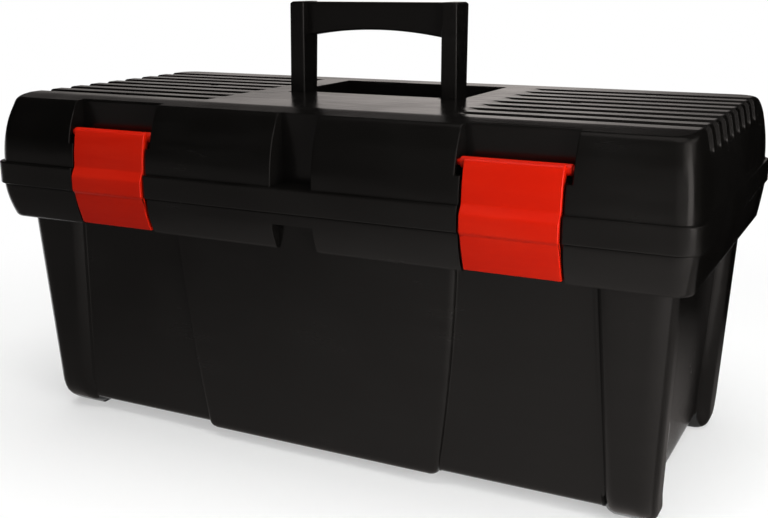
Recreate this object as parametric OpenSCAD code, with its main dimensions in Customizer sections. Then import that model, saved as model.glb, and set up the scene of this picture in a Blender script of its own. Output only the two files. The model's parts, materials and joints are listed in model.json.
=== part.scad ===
// Hard tool case with a hinged lid, two pivoting latches, a fold-down carry handle and a lift-out tray.
// Millimetres. Origin on the floor under the middle of the case, X along its length, front towards -Y, Z up.

/* [Case] */
// Length over the belt round the lid's lower edge
case_l = 523; // [460:1:620]
// Depth over the belt, front to back
case_d = 268; // [250:1:320]
// Height of the tub, from the floor to the joint with the lid
tub_h = 186; // [160:1:240]
// Height of the lid, from the joint to its flat top
lid_h = 66; // [64:1:90]
// Radius of the upright corners of lid and collar
corner_r = 13; // [8:1:20]
// Wall of the mouldings
wall = 2.6; // [2:0.1:3.2]

/* [Lid] */
// Height of the belt
belt_h = 17; // [14:1:20]
// How far the belt stands proud of the wall above it
belt_t = 3; // [2:0.1:4]
// Radius of the bulge in the front and back walls of the lid
bulge_r = 98; // [80:1:200]
// Radius of the bulge in the end walls of the lid
end_bulge_r = 170; // [120:1:300]
// Radius of the lid's top edge at the front and back
top_r = 16; // [10:0.5:18]
// Radius of the lid's top edge at the ends
end_top_r = 6; // [4:0.5:10]
// Thickness of the lid's top
top_t = 6; // [5:0.1:8]
// Smooth width left between the two grooved fields
plain_w = 186; // [176:1:220]
// Number of grooves in each field
groove_n = 8; // [5:1:8]
// Distance from one groove to the next
groove_pitch = 23.3; // [20:0.1:23.5]
// Width of a groove
groove_w = 11; // [6:0.5:14]
// Depth of a groove
groove_d = 2.5; // [1:0.1:3]
// Length of the ramp at a groove's inner end
groove_ramp = 26; // [10:1:40]
// How far the grooves run down the end walls
groove_drop = 17; // [12:1:20]
// Diameter of the round mark in each grooved field
dimple_d = 8; // [6:0.5:10]

/* [Tub] */
// Height of the wide collar at the top of the tub
collar_h = 26; // [24:1:30]
// How far the collar's lower front edge leans in
collar_lean = 7; // [4:0.5:8]
// How far the corner columns sit inside the belt at the ends
column_in_x = 13.5; // [12:0.5:18]
// How far the corner columns sit inside the belt at the front
column_in_y = 18.5; // [17:0.5:24]
// How far the tub tapers in at the ends, top to bottom
taper_x = 7.5; // [2:0.5:14]
// How far the tub tapers in at the front, top to bottom
taper_y = 8; // [2:0.5:14]
// Width of a corner column along the front, at the top
column_w = 50; // [40:1:56]
// Width of a corner column along the front, at the foot
foot_w = 32; // [26:1:38]
// Width of a corner column along the end
column_d = 37; // [30:1:44]
// How far the foot of a column runs in at the front
toe_in = 20; // [8:1:22]
// Height over which the foot of a column runs in
toe_h = 22; // [14:1:30]
// Depth of the fields between the columns, front and back
field_in_y = 7; // [4:0.5:9]
// Depth of the fields between the columns, at the ends
field_in_x = 10; // [5:0.5:11]
// Width of the centre panel at the top
panel_w = 218; // [190:1:230]
// Width of the centre panel at the bottom
panel_foot_w = 184; // [150:1:190]
// How far the centre panel stands behind the columns
panel_in = 2.5; // [1:0.5:3.5]
// Gap between the floor and the underside of the tub
under_gap = 7; // [5:0.5:12]
// Thickness of the tub's floor
floor_t = 3; // [2:0.1:4]
// Height of the tongue that locates the lid
tongue_h = 8; // [5:0.5:9]
// Thickness of the tongue
tongue_t = 2.2; // [1.6:0.1:2.4]

/* [Latches] */
// Distance from the middle of the case to each latch
latch_x = 151.3; // [140:0.1:160]
// Width of a latch
latch_w = 62.4; // [50:0.1:66]
// Thickness of a latch
latch_t = 4.6; // [4:0.1:4.8]
// How far the ears stand out at each side of a latch
ear_w = 3.7; // [2.5:0.1:4.5]
// Diameter of the barrel across the top of a latch
barrel_d = 7; // [6.6:0.1:7.4]
// Height of the pivot above the joint
latch_up = 41.9; // [41:0.1:43]
// How far a latch reaches below the joint
lip_down = 24.4; // [22.6:0.1:24.6]
// Height of the hook at the foot of a latch
hook_h = 4; // [3:0.1:5]
// Diameter of the trunnions a latch turns on
trunnion_d = 4; // [3:0.1:4.4]
// Length of a trunnion
trunnion_l = 3; // [2:0.1:3.4]
// Depth of the latch pockets and the padlock recess, from the belt's face
pocket_d = 22; // [19:0.5:23]

/* [Padlock] */
// Width of the padlock recess
lock_w = 31; // [26:1:50]

/* [Hinges] */
// Distance from the middle of the case to each hinge
hinge_x = 150; // [100:1:180]
// Outside diameter of the hinge knuckles
knuckle_d = 10; // [9:0.5:11]
// Width of the lid's knuckle
knuckle_w = 21; // [14:1:30]
// Width of each lug on the tub
lug_w = 12; // [8:1:16]
// Diameter of the hinge pins
hinge_pin_d = 5; // [3:0.1:6]

/* [Handle] */
// Width over the handle's legs
handle_w = 135; // [110:0.1:150]
// Width of a leg, seen from the front
leg_w = 11.5; // [8:0.5:14]
// Depth of a leg, front to back
leg_d = 19; // [16:0.5:19.5]
// How far the upright handle stands above the lid
handle_up = 66.2; // [58:0.1:72]
// Height of the grip bar
grip_h = 20; // [14:0.5:24]
// Thickness of the grip bar
grip_t = 9; // [6:0.5:14]
// Rise of the arch under the grip bar
grip_arch = 5; // [2:0.5:8]
// Distance from the handle's pivot line forward of the middle of the case
handle_fwd = 8.6; // [4:0.1:14]
// Diameter of the handle pins
handle_pin_d = 5; // [3:0.1:6]

/* [Tray] */
// Depth of the lift-out tray, front to back
tray_d = 221; // [214:1:222]
// Distance from each end of the case to the tray
tray_in = 14; // [13:0.5:18]
// Height of the tray's walls
tray_h = 29; // [22:1:30]
// Wall of the tray
tray_t = 2; // [1.4:0.1:3]
// Compartments along each row
cells = 4; // [2:2:6]
// Height of the tray's grip above its walls
tray_grip = 10; // [6:1:11]

/* [Fits] */
// Gap between lid and tub where they meet
seat_gap = 0.3; // [0.2:0.05:0.6]
// Gap between the tongue and the lid
tongue_gap = 0.5; // [0.4:0.1:1]
// Gap at each side of a latch
latch_side_gap = 1.6; // [1:0.1:2]
// Gap behind a latch
latch_back_gap = 0.5; // [0.3:0.1:0.8]
// Radial play round pins and trunnions
pin_gap = 0.1; // [0.05:0.01:0.2]
// Radial gap of a pin held in its seat
press_gap = 0.02; // [0.01:0.01:0.04]
// Gap round the folded handle
handle_gap = 1.2; // [0.8:0.1:2]
// Gap between moving knuckles
knuckle_gap = 0.5; // [0.3:0.1:1]
// Gap under the tray
tray_gap = 0.3; // [0.2:0.05:0.6]

/* [Hidden] */
e = 0.01;
big = 60;
black = [0.07, 0.07, 0.075];
red = [0.72, 0.08, 0.03];
steel = [0.72, 0.73, 0.75];
seg = 5;

hx = case_l / 2;                      // half length over the belt
hy = case_d / 2;                      // half depth over the belt
top_z = tub_h + lid_h;
collar_z = tub_h - collar_h;          // underside of the collar
seat_z = tub_h + seat_gap;            // lower edge of the lid

// How far the lid's walls stand inside the belt at height h above the joint
function bulge(h, r) = belt_t + pow(max(h - belt_h, 0), 2) / (2 * r);
function edge(h, r) = let (u = max(h - lid_h + r, 0) / r) r * (1 - sqrt(1 - min(u * u, 1)));
function lid_in_x(h) = bulge(h, end_bulge_r) + edge(h, end_top_r);
function lid_in_y(h) = bulge(h, bulge_r) + edge(h, top_r);
function mix(a, b, t) = a + (b - a) * t;

// ---- a stack of rounded rectangles, each [z, x0, x1, y0, y1, radius], skinned into one solid
function ring_points(q) = [for (c = [0:3]) for (i = [0:seg])
    let (a = 90 * (c + i / seg), r = q[5],
         cx = (c == 0 || c == 3) ? q[2] - r : q[1] + r, cy = c < 2 ? q[4] - r : q[3] + r)
    [cx + r * cos(a), cy + r * sin(a), q[0]]];
module loft(rings) {
    n = 4 * (seg + 1);
    last = len(rings) - 1;
    polyhedron(
        points = [for (q = rings) each ring_points(q)],
        faces = concat(
            [[for (i = [0:n - 1]) i]],
            [for (k = [0:last - 1]) for (i = [0:n - 1])
                [k * n + i, (k + 1) * n + i, (k + 1) * n + (i + 1) % n, k * n + (i + 1) % n]],
            [[for (i = [n - 1:-1:0]) last * n + i]]),
        convexity = 6);
}
function centred(z, x, y, r) = [z, -x, x, -y, y, r];

// Profile drawn in the upright plane across the case (y, z), run along X about xm
module across(pts, xm, w) translate([xm - w / 2, 0, 0]) rotate([90, 0, 90]) linear_extrude(w) polygon(pts);
module rod(x0, x1, y, z, d) translate([x0, y, z]) rotate([0, 90, 0]) cylinder(d = d, h = x1 - x0, $fn = 48);

// ================================================================ latches
pivot_y = -(hy - lid_in_y(latch_up)) + 5.6;
pivot_z = tub_h + latch_up;
latch_proud = 0.7;                    // upper face of a latch, proud of the lid
band_proud = 1.5;                     // its band, proud of the belt
lip_z = tub_h - lip_down;
mid_h = (latch_up + belt_h) / 2;
function skin_y(h) = -(hy - lid_in_y(h)) - latch_proud;
function collar_y(z) = let (t = (tub_h - z) / collar_h) -(hy - 2.5 - collar_lean * t * t);
hook_back = collar_y(lip_z) + 4.6;
latch_front = [
    [pivot_y - 2.8, pivot_z + barrel_d / 2],
    [skin_y(latch_up) + 1, pivot_z + 2.4],
    [skin_y(latch_up - 1), pivot_z - 1],
    [skin_y(mid_h), tub_h + mid_h],
    [skin_y(belt_h + 1.5), tub_h + belt_h + 1.5],
    [-hy - band_proud + 0.3, tub_h + belt_h - 5],
    [-hy - band_proud, tub_h + 2.2],
    [-hy - band_proud + 0.6, tub_h + 0.7],
    [collar_y(tub_h) - 1.6, tub_h - 1],
    [collar_y(tub_h - 14) - 0.6, tub_h - 14],
    [collar_y(lip_z) - 1, lip_z + 0.9],
    [collar_y(lip_z), lip_z]];
latch_rear = [
    [hook_back, lip_z],
    [hook_back, lip_z + hook_h],
    [collar_y(lip_z + hook_h) - 0.6 + latch_t, lip_z + hook_h],
    [collar_y(tub_h - 14) - 0.6 + latch_t, tub_h - 14],
    [collar_y(tub_h - 3) - 2.5 + latch_t, tub_h - 3],
    [-hy - band_proud + latch_t, tub_h - 0.5],
    [-hy - band_proud + latch_t, tub_h + belt_h - 5],
    [skin_y(belt_h + 1.5) + latch_t, tub_h + belt_h + 1.5],
    [skin_y(mid_h) + latch_t, tub_h + mid_h],
    [pivot_y, pivot_z - barrel_d / 2 + 0.4],
    [pivot_y + 1.4, pivot_z]];
module latch(s) {
    across(concat(latch_front, latch_rear), s * latch_x, latch_w);
    rod(s * latch_x - latch_w / 2 - ear_w, s * latch_x + latch_w / 2 + ear_w, pivot_y, pivot_z, barrel_d);
    rod(s * latch_x - latch_w / 2 - ear_w - latch_side_gap - trunnion_l,
        s * latch_x + latch_w / 2 + ear_w + latch_side_gap + trunnion_l, pivot_y, pivot_z, trunnion_d);
}

// Space a latch needs in the lid, and the lid's wall behind it, as profiles across the case
pocket_y = -hy + pocket_d;
deep_z = pivot_z - barrel_d / 2 - 4;
deep_y = mix(skin_y(mid_h) + latch_t, pivot_y, (deep_z - tub_h - mid_h) / (latch_up - barrel_d / 2 + 0.4 - mid_h));
function behind(g, low) = [
    [-hy - big, low], [-hy - band_proud + latch_t + g, low],
    [-hy - band_proud + latch_t + g, tub_h + belt_h - 5],
    [skin_y(belt_h + 1.5) + latch_t + g, tub_h + belt_h + 1.5],
    [skin_y(mid_h) + latch_t + g, tub_h + mid_h],
    [deep_y + g, deep_z + e], [-hy - big, deep_z + e]];
module latch_pocket(s) {
    w = latch_w + 2 * latch_side_gap;
    across(behind(latch_back_gap, tub_h - 1), s * latch_x, w);
    across([[-hy - big, deep_z], [pocket_y, deep_z], [pocket_y, top_z + 1], [-hy - big, top_z + 1]],
           s * latch_x, w + 2 * ear_w);
    rod(s * latch_x - latch_w / 2 - ear_w - latch_side_gap - trunnion_l - 0.5,
        s * latch_x + latch_w / 2 + ear_w + latch_side_gap + trunnion_l + 0.5, pivot_y, pivot_z,
        trunnion_d + 2 * pin_gap);
}
cheek_t = trunnion_l + 1.8;
module latch_pocket_wall(s) {
    w = latch_w + 2 * latch_side_gap;
    zw = tub_h + tongue_h + 1.5;
    intersection() {
        across(behind(latch_back_gap + wall - 0.2, tub_h - 1), s * latch_x, w + 2 * wall);
        translate([s * latch_x - w, -hy - big, zw]) cube([2 * w, big + hy, top_z]);
    }
    across([[-hy - big, deep_z - wall], [pocket_y + wall, deep_z - wall], [pocket_y + wall, top_z + 1],
            [-hy - big, top_z + 1]], s * latch_x, w + 2 * ear_w + 2 * cheek_t);
}

// ================================================================ handle
grip_front = -handle_fwd + leg_d / 2 - grip_t;
handle_z = top_z - leg_d / 2 - 0.1;
handle_top = top_z + handle_up;
well_x = handle_w / 2 + handle_gap;
well_front = -handle_fwd - leg_d / 2 + 6;
well_back = -handle_fwd + (handle_top - handle_z) + handle_gap + 8;
well_z = handle_z - leg_d / 2 - 1.4;
module handle_leg(s) {
    x0 = s > 0 ? handle_w / 2 - leg_w : -handle_w / 2;
    difference() {
        union() {
            rod(x0, x0 + leg_w, -handle_fwd, handle_z, leg_d);
            translate([x0, -handle_fwd - leg_d / 2, handle_z]) cube([leg_w, leg_d, handle_top - handle_z - 3]);
            translate([0, 0, handle_top - 3]) rotate([90, 0, 0])
                translate([0, 0, handle_fwd - leg_d / 2]) linear_extrude(leg_d)
                    polygon([[x0, -e], [x0 + leg_w, -e], [x0 + leg_w - (s > 0 ? 1 : 0), 2],
                             [x0 + leg_w - (s > 0 ? 3 : 0), 3], [x0 + (s > 0 ? 0 : 3), 3],
                             [x0 + (s > 0 ? 0 : 1), 2]]);
        }
        rod(x0 - 1, x0 + leg_w + 1, -handle_fwd, handle_z, handle_pin_d + 2 * pin_gap);
    }
}
arch_half = handle_w / 2 - leg_w;
module handle() {
    difference() {
        union() {
            handle_leg(-1);
            handle_leg(1);
            translate([0, grip_front + grip_t, 0]) rotate([90, 0, 0]) linear_extrude(grip_t)
                polygon(concat(
                    [[arch_half + 1, handle_top - 0.6], [-arch_half - 1, handle_top - 0.6]],
                    [for (i = [-8:8]) let (t = i / 8)
                        [t * (arch_half + 1), handle_top - grip_h - grip_arch * (t * t)]]));
        }
    }
}
module handle_pin(s) {
    x = s > 0 ? handle_w / 2 - leg_w + 1 : -handle_w / 2 + leg_w - 1;
    far = s * (well_x + pin_seat);
    rod(min(x, far), max(x, far), -handle_fwd, handle_z, handle_pin_d);
}
pin_seat = 9;
module handle_well() {
    loft([for (z = [well_z, top_z + 1]) [z, -well_x, well_x, well_front, well_back, 4]]);
    for (s = [-1, 1]) {
        x0 = s > 0 ? well_x - leg_w - 2 * handle_gap : -well_x;
        translate([x0, -handle_fwd - leg_d / 2 - handle_gap + 0.3, well_z])
            cube([leg_w + 2 * handle_gap, leg_d, top_z]);
    }
}
module handle_well_wall() {
    translate([-well_x - wall, -handle_fwd - leg_d / 2 - handle_gap - wall, well_z - wall])
        cube([2 * (well_x + wall), well_back + handle_fwd + leg_d / 2 + handle_gap + 2 * wall, top_z]);
    for (s = [-1, 1]) rod(min(s * well_x, s * (well_x + pin_seat)), max(s * well_x, s * (well_x + pin_seat)),
                          -handle_fwd, handle_z, handle_pin_d + 9);
}
module handle_pin_bore(s) {
    a = s * (well_x - e);
    b = s * (well_x + pin_seat + 1);
    rod(min(a, b), max(a, b), -handle_fwd, handle_z, handle_pin_d + 2 * press_gap);
}

// ================================================================ hinges
axis_y = hy + knuckle_d / 2 + 0.5;
axis_z = tub_h - 2;
mid_y = (hy + band_proud - axis_y - knuckle_d / 2) / 2;   // centres the whole case, hinges included, on Y
module lid_knuckle(s) {
    difference() {
        union() {
            rod(s * hinge_x - knuckle_w / 2, s * hinge_x + knuckle_w / 2, axis_y, axis_z, knuckle_d);
            across([[hy - 2, seat_z + 0.1], [axis_y - 1, axis_z], [axis_y, axis_z + knuckle_d / 2],
                    [hy, tub_h + belt_h - 5], [hy - 2, tub_h + belt_h - 5]], s * hinge_x, knuckle_w);
            translate([s * hinge_x - knuckle_w / 2 + 1, axis_y, axis_z]) rotate([15, 0, 0])
                translate([0, -1.5, -(axis_y - hy + 1.9)]) cube([knuckle_w - 2, 3, axis_y - hy + 1.9]);
        }
        rod(s * hinge_x - knuckle_w, s * hinge_x + knuckle_w, axis_y, axis_z, hinge_pin_d + 2 * pin_gap);
    }
}
lug_far = knuckle_w / 2 + knuckle_gap + lug_w;
module tub_lugs(s) {
    difference() {
        for (t = [-1, 1]) {
            xm = s * hinge_x + t * (knuckle_w / 2 + knuckle_gap + lug_w / 2);
            rod(xm - lug_w / 2, xm + lug_w / 2, axis_y, axis_z, knuckle_d);
            across([[hy - 5, axis_z + 1], [axis_y, axis_z + 1], [axis_y, axis_z - knuckle_d / 2],
                    [hy - 5, axis_z - 2 * knuckle_d / 2 - 3]], xm, lug_w);
        }
        rod(s * hinge_x - lug_far - 1, s * hinge_x + lug_far + 1, axis_y, axis_z,
            hinge_pin_d + 2 * press_gap);
    }
}
module hinge_pin(s) rod(s * hinge_x - lug_far, s * hinge_x + lug_far, axis_y, axis_z, hinge_pin_d);

// ================================================================ lid
cav_h = lid_h - top_t;                // height of the lid's hollow
cav_r = top_r - 4;                    // rounding of its top edge
groove_foot = lid_h - groove_drop - 5;
function cav_edge(h) = let (u = max(h - cav_h + cav_r, 0) / cav_r) cav_r * (1 - sqrt(1 - min(u * u, 1)));
module lid() color(black) {
    difference() {
        union() {
            difference() {
                loft(concat(
                    [centred(seat_z, hx, hy, corner_r),
                     centred(tub_h + belt_h - 1.2, hx, hy, corner_r),
                     centred(tub_h + belt_h, hx - 1.2, hy - 1.2, corner_r - 1)],
                    [for (h = concat([for (t = [0:0.25:1]) mix(belt_h + e, lid_h - top_r, t)],
                                     [for (a = [20, 36, 50, 64, 77, 90]) lid_h - top_r + top_r * sin(a)]))
                        centred(tub_h + h, hx - lid_in_x(h), hy - lid_in_y(h), corner_r - 1)]));
                difference() {
                    loft([for (h = concat([-1, belt_h], [for (t = [0:0.5:1]) mix(groove_foot - 6, groove_foot, t)],
                                          [for (a = [0, 30, 55, 75, 90]) cav_h - cav_r + cav_r * sin(a)]))
                        let (i = wall + cav_edge(h), k = min(max((h - groove_foot + 6) / 6, 0), 1) * groove_d)
                        centred(tub_h + h, hx - bulge(h, end_bulge_r) - i - k, hy - bulge(h, bulge_r) - i,
                                corner_r - 3)]);
                    handle_well_wall();
                    for (s = [-1, 1]) latch_pocket_wall(s);
                    lock_wall();
                }
            }
            for (s = [-1, 1]) lid_knuckle(s);
        }
        handle_well();
        for (s = [-1, 1]) {
            latch_pocket(s);
            handle_pin_bore(s);
            grooves(s);
            translate([s * (plain_w / 4 + hx / 2 - 28), 0, top_z - 0.8]) cylinder(d = dimple_d, h = 2, $fn = 32);
        }
        lock_recess();
    }
}
module lock_wall() {
    translate([-lock_w / 2 - wall, -hy - big, tub_h + tongue_h + 1.5])
        cube([lock_w + 2 * wall, big + pocket_d - 2 + wall, lid_h]);
    translate([-lock_w / 2 - wall, -hy - big, tub_h - 2]) cube([lock_w + 2 * wall, big + 14, lid_h]);
}
module lock_recess() {
    translate([-lock_w / 2, -hy - big, tub_h + belt_h]) cube([lock_w, big + pocket_d - 2, lid_h]);
}
module grooves(s) {
    x0 = plain_w / 2;
    y0 = -groove_pitch * (groove_n - 1) / 2;
    x1 = hx - lid_in_x(lid_h);
    hf = lid_h - groove_drop;
    xf = hx - lid_in_x(hf);
    pts = [[x0, top_z + e], [x0 + groove_ramp, top_z - groove_d], [x1, top_z - groove_d],
           [x1 + end_top_r * 0.55, top_z - groove_d - 1.2], [x1 + end_top_r * 0.9 - 0.5, top_z - groove_d - 4],
           [xf - 2.2, top_z - groove_drop + 7], [xf + 0.02, top_z - groove_drop],
           [hx + 5, top_z - groove_drop - 1], [hx + 5, top_z + 5], [x0, top_z + 5]];
    for (i = [0:groove_n - 1]) translate([0, y0 + i * groove_pitch + groove_w / 2, 0])
        rotate([90, 0, 0]) linear_extrude(groove_w) polygon([for (p = pts) [s * p[0], p[1]]]);
}

// ================================================================ tub
col_x = hx - column_in_x;             // outer face of the columns at the collar
col_y = hy - column_in_y;
function lean(z) = 1 - z / collar_z;
function side_x(z) = col_x - taper_x * lean(z);
function side_y(z) = col_y - taper_y * lean(z);
function round_in(z, r) = z >= r ? 0 : r - sqrt(r * r - (r - z) * (r - z));
foot_r = 9;
foot_zs = [0, 0.8, 2, 4, 8, 13, 22];
function toe(z) = min(toe_in, column_d * 0.55) * pow(max(1 - z / toe_h, 0), 2);
module column(sx, sy, g, z0, z1) {
    loft([for (z = concat([for (q = foot_zs) if (q < z1 - 20) q + z0], [z1]))
        let (h = z - z0, w = mix(foot_w, column_w, z / collar_z),
             xo = side_x(z) - g - round_in(h, foot_r) * 0.8, xi = side_x(z) - w + g + round_in(h, 7) * 0.8,
             yo = side_y(z) - g - toe(h), yi = side_y(z) - column_d + g + round_in(h, 4) * 0.8)
        [z, sx > 0 ? xi : -xo, sx > 0 ? xo : -xi, sy > 0 ? yi : -yo, sy > 0 ? yo : -yi,
         min(foot_r, 6 + h * 0.4) - g]]);
}
module panel(g, z0, z1) {
    loft([for (z = concat([for (q = [0, 0.8, 2.4, 6]) q + z0], [mix(z0, z1, 0.3), mix(z0, z1, 0.6), z1]))
        let (i = g + round_in(z - z0, 6), t = (z / collar_z))
        centred(z, mix(panel_foot_w, panel_w, 1 - (1 - t) * (1 - t) * 0.6 - (1 - t) * 0.4) / 2 - i,
                side_y(z) - panel_in - i, 4)]);
}
module tub() color(black) {
    tin_x = hx - belt_t - wall - tongue_gap;
    tin_y = hy - belt_t - wall - tongue_gap;
    shelf_z = collar_z + wall;
    difference() {
        union() {
            loft(concat(
                [for (z = [under_gap + 2, under_gap + 2.8, under_gap + 4.4, under_gap + 8])
                    let (i = round_in(z - under_gap - 2, 6))
                    centred(z, side_x(z) - field_in_x - i, side_y(z) - field_in_y - i, 8)],
                [centred(collar_z, side_x(collar_z) - field_in_x, side_y(collar_z) - field_in_y, 8),
                 centred(collar_z, hx - 6.2, -collar_y(collar_z) - 1.6, corner_r - 3),
                 centred(collar_z + 1.6, hx - 4.6, -collar_y(collar_z + 1.6), corner_r - 2)],
                [for (t = [0.3, 0.6, 0.8, 1]) let (z = mix(collar_z, tub_h, t))
                    centred(z, hx - 1.5 - 3.2 * (1 - t), -collar_y(z), corner_r - 1)],
                [centred(tub_h, tin_x, tin_y, corner_r - 4),
                 centred(tub_h + tongue_h, tin_x - 0.6, tin_y - 0.6, corner_r - 4)]));
            for (sx = [-1, 1]) for (sy = [-1, 1]) column(sx, sy, 0, 0, collar_z + 1);
            panel(0, under_gap, collar_z + 1);
            for (s = [-1, 1]) tub_lugs(s);
        }
        difference() {
            union() {
                loft([centred(under_gap + 2 + floor_t, side_x(0) - field_in_x - wall - 2,
                              side_y(0) - field_in_y - wall - 2, 6),
                      centred(under_gap + 8, side_x(0) - field_in_x - wall, side_y(0) - field_in_y - wall, 6),
                      centred(shelf_z, side_x(collar_z) - field_in_x - wall,
                              side_y(collar_z) - field_in_y - wall, 6),
                      centred(shelf_z, hx - 4.6 - wall - 1, -collar_y(shelf_z) - wall, corner_r - 4),
                      centred(shelf_z + 9, tin_x - tongue_t, min(-collar_y(shelf_z + 9) - wall, tin_y - tongue_t),
                              corner_r - 5),
                      centred(tub_h + tongue_h + 1, tin_x - tongue_t, tin_y - tongue_t, corner_r - 5)]);
                for (sx = [-1, 1]) for (sy = [-1, 1]) column(sx, sy, wall, floor_t + 0.5, shelf_z + 0.5);
                panel(wall, under_gap + floor_t, shelf_z + 0.5);
            }
            for (s = [-1, 1]) translate([s * latch_x - channel_w / 2 - wall, -hy, collar_z - 1])
                cube([channel_w + 2 * wall, hy + hook_back + latch_back_gap + wall, collar_h + 1 - e]);
            translate([-lock_w / 2 - wall, -hy, collar_z - 1]) cube([lock_w + 2 * wall, lock_floor + wall, collar_h + 1 - e]);
        }
        for (s = [-1, 1]) latch_channel(s);
        lock_notch();
    }
}
channel_w = latch_w + 2 * latch_side_gap;
hook_top = lip_z + hook_h + 0.6;
module latch_channel(s) {
    g = latch_back_gap;
    across([[-hy - big, lip_z - 20], [hook_back + g, lip_z - 20], [hook_back + g, hook_top],
            [collar_y(hook_top) - 0.6 + latch_t + g, hook_top],
            [collar_y(tub_h - 14) - 0.6 + latch_t + g, tub_h - 14],
            [collar_y(tub_h - 3) - 2.5 + latch_t + g, tub_h - 3],
            [-hy - band_proud + latch_t + g, tub_h - 0.5],
            [-hy - band_proud + latch_t + g, tub_h + e], [-hy - big, tub_h + e]], s * latch_x, channel_w);
}
lock_floor = 12;
module lock_notch() {
    translate([-lock_w / 2 - wall - tongue_gap, -hy, tub_h])
        cube([lock_w + 2 * wall + 2 * tongue_gap, 14 + tongue_gap, tongue_h + 2]);
    translate([-lock_w / 2, -hy - 1, collar_z - 1]) cube([lock_w, lock_floor + 1, collar_h - 7]);
}

// ================================================================ tray
module tray() color(black) {
    z0 = collar_z + wall + tray_gap;
    x = hx - tray_in;
    y = tray_d / 2;
    cw = (2 * x - tray_t) / cells;
    difference() {
        union() {
            loft([centred(z0, x - 1.5, y - 1.5, 8), centred(z0 + 1.5, x, y, 9), centred(z0 + tray_h, x, y, 9)]);
        }
        for (i = [0:cells - 1]) for (s = [-1, 1]) {
            a = -x + tray_t + i * cw;
            loft([for (z = [z0 + tray_t, z0 + tray_h + 1])
                [z, a, a + cw - tray_t, s > 0 ? grip_wall / 2 : -y + tray_t,
                 s > 0 ? y - tray_t : -grip_wall / 2, 6]]);
        }
        translate([-grip_w / 2 - press_gap, -grip_wall / 2 - e, z0 + tray_t])
            cube([grip_w + 2 * press_gap, grip_wall + 2 * e, tray_h]);
        translate([-grip_w / 2 + 8, -12, z0 + tray_h + tray_grip - 30]) cube([grip_w - 16, 24, tray_h]);
    }
}
grip_w = 130;                         // length of the tray's handle
grip_wall = 5;                        // its thickness, and that of the wall between the rows
module tray_handle() color(black) {
    z0 = collar_z + wall + tray_gap;
    x = grip_w / 2;
    top = z0 + tray_h + tray_grip;
    difference() {
        translate([0, grip_wall / 2, 0]) rotate([90, 0, 0]) linear_extrude(grip_wall)
            polygon([[-x, z0 + tray_t + press_gap], [x, z0 + tray_t + press_gap], [x, top - 6], [x - 6, top],
                     [-x + 6, top], [-x, top - 6]]);
        translate([0, 10, 0]) rotate([90, 0, 0]) linear_extrude(20)
            polygon([[-x + 16, top - 30], [x - 16, top - 30], [x - 10, top - 24], [x - 10, top - 14],
                     [x - 15, top - 9], [-x + 15, top - 9], [-x + 10, top - 14], [-x + 10, top - 24]]);
    }
}

module placed() translate([0, mid_y, 0]) children();
placed() tub();
placed() lid();
placed() color(black) handle();
placed() color(red) latch(-1);  // latch_left
placed() color(red) latch(1);  // latch_right
placed() color(steel) hinge_pin(-1);  // hinge_pin_left
placed() color(steel) hinge_pin(1);  // hinge_pin_right
placed() color(steel) handle_pin(-1);  // handle_pin_left
placed() color(steel) handle_pin(1);  // handle_pin_right
placed() tray();
placed() tray_handle();
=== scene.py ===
# %% [markdown]
# # A hard tool case, dressed for a studio picture
# The case has few parts: a tub, a lid that hinges on it at the back, two red latches, a carry handle
# and a lift-out tray. Its measured solids come in as a frame. Each moulding is then built again here as
# a finer mesh with rounded lips, because glossy black plastic shows every facet and every sharp edge.

# %% The frame and the tools
import bpy, bmesh, json, math
import numpy as np
from mathutils import Matrix, Vector

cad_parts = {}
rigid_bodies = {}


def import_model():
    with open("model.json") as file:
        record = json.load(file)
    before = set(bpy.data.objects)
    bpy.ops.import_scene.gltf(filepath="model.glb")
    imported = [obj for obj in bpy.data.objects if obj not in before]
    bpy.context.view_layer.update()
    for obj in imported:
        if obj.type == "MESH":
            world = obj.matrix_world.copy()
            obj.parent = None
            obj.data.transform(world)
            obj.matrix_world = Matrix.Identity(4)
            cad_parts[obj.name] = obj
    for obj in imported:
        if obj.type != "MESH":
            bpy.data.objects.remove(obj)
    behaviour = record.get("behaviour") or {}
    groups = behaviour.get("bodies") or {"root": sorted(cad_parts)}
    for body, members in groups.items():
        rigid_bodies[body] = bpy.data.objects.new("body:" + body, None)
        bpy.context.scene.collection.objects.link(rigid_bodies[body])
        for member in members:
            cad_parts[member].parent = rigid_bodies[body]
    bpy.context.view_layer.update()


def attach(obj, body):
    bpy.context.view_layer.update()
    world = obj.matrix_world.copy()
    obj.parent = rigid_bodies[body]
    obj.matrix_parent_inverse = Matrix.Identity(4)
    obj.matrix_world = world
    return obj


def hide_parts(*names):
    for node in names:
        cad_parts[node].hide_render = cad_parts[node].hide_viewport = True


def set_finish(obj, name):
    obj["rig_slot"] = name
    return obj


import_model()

# %% [markdown]
# ## Sizes
# All shapes are worked out in millimetres about the middle of the case's belt, and become metres at the
# last moment. The case stands on the floor at z = 0, its front looks towards -Y.

# %% Sizes of the case, in millimetres
HX, HY = 261.5, 134.0          # half length and half depth over the belt
MID_Y = -4.5                   # the belt's middle in the frame, whose box takes in the hinges
JOINT, TOP = 186.0, 252.0      # the joint between tub and lid, and the flat top
LID_H = TOP - JOINT
WALL = 2.6                     # thickness of every moulding's walls
BELT_H, BELT_T = 17.0, 3.0     # the belt round the lid's lower edge stands this high, and this far out
LATCH_X, PIVOT_Y, PIVOT_Z = 151.3, -122.237, 227.9       # where the latches turn
LIP = 0.6                      # rounding of every lip and moulded edge

def metres(p):
    return (p[0] / 1000, (p[1] + MID_Y) / 1000, p[2] / 1000)

print("belt", 2 * HX, "by", 2 * HY, "joint at", JOINT, "top at", TOP)

# %% [markdown]
# ## One way to make a piece
# Every piece is a list of points and faces, welded, turned outwards, and smooth except along real edges.

# %% Making a piece
WELD, NO_LENGTH = 2e-6, 1e-7   # metres: points this near are one, and edges this short are none

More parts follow.
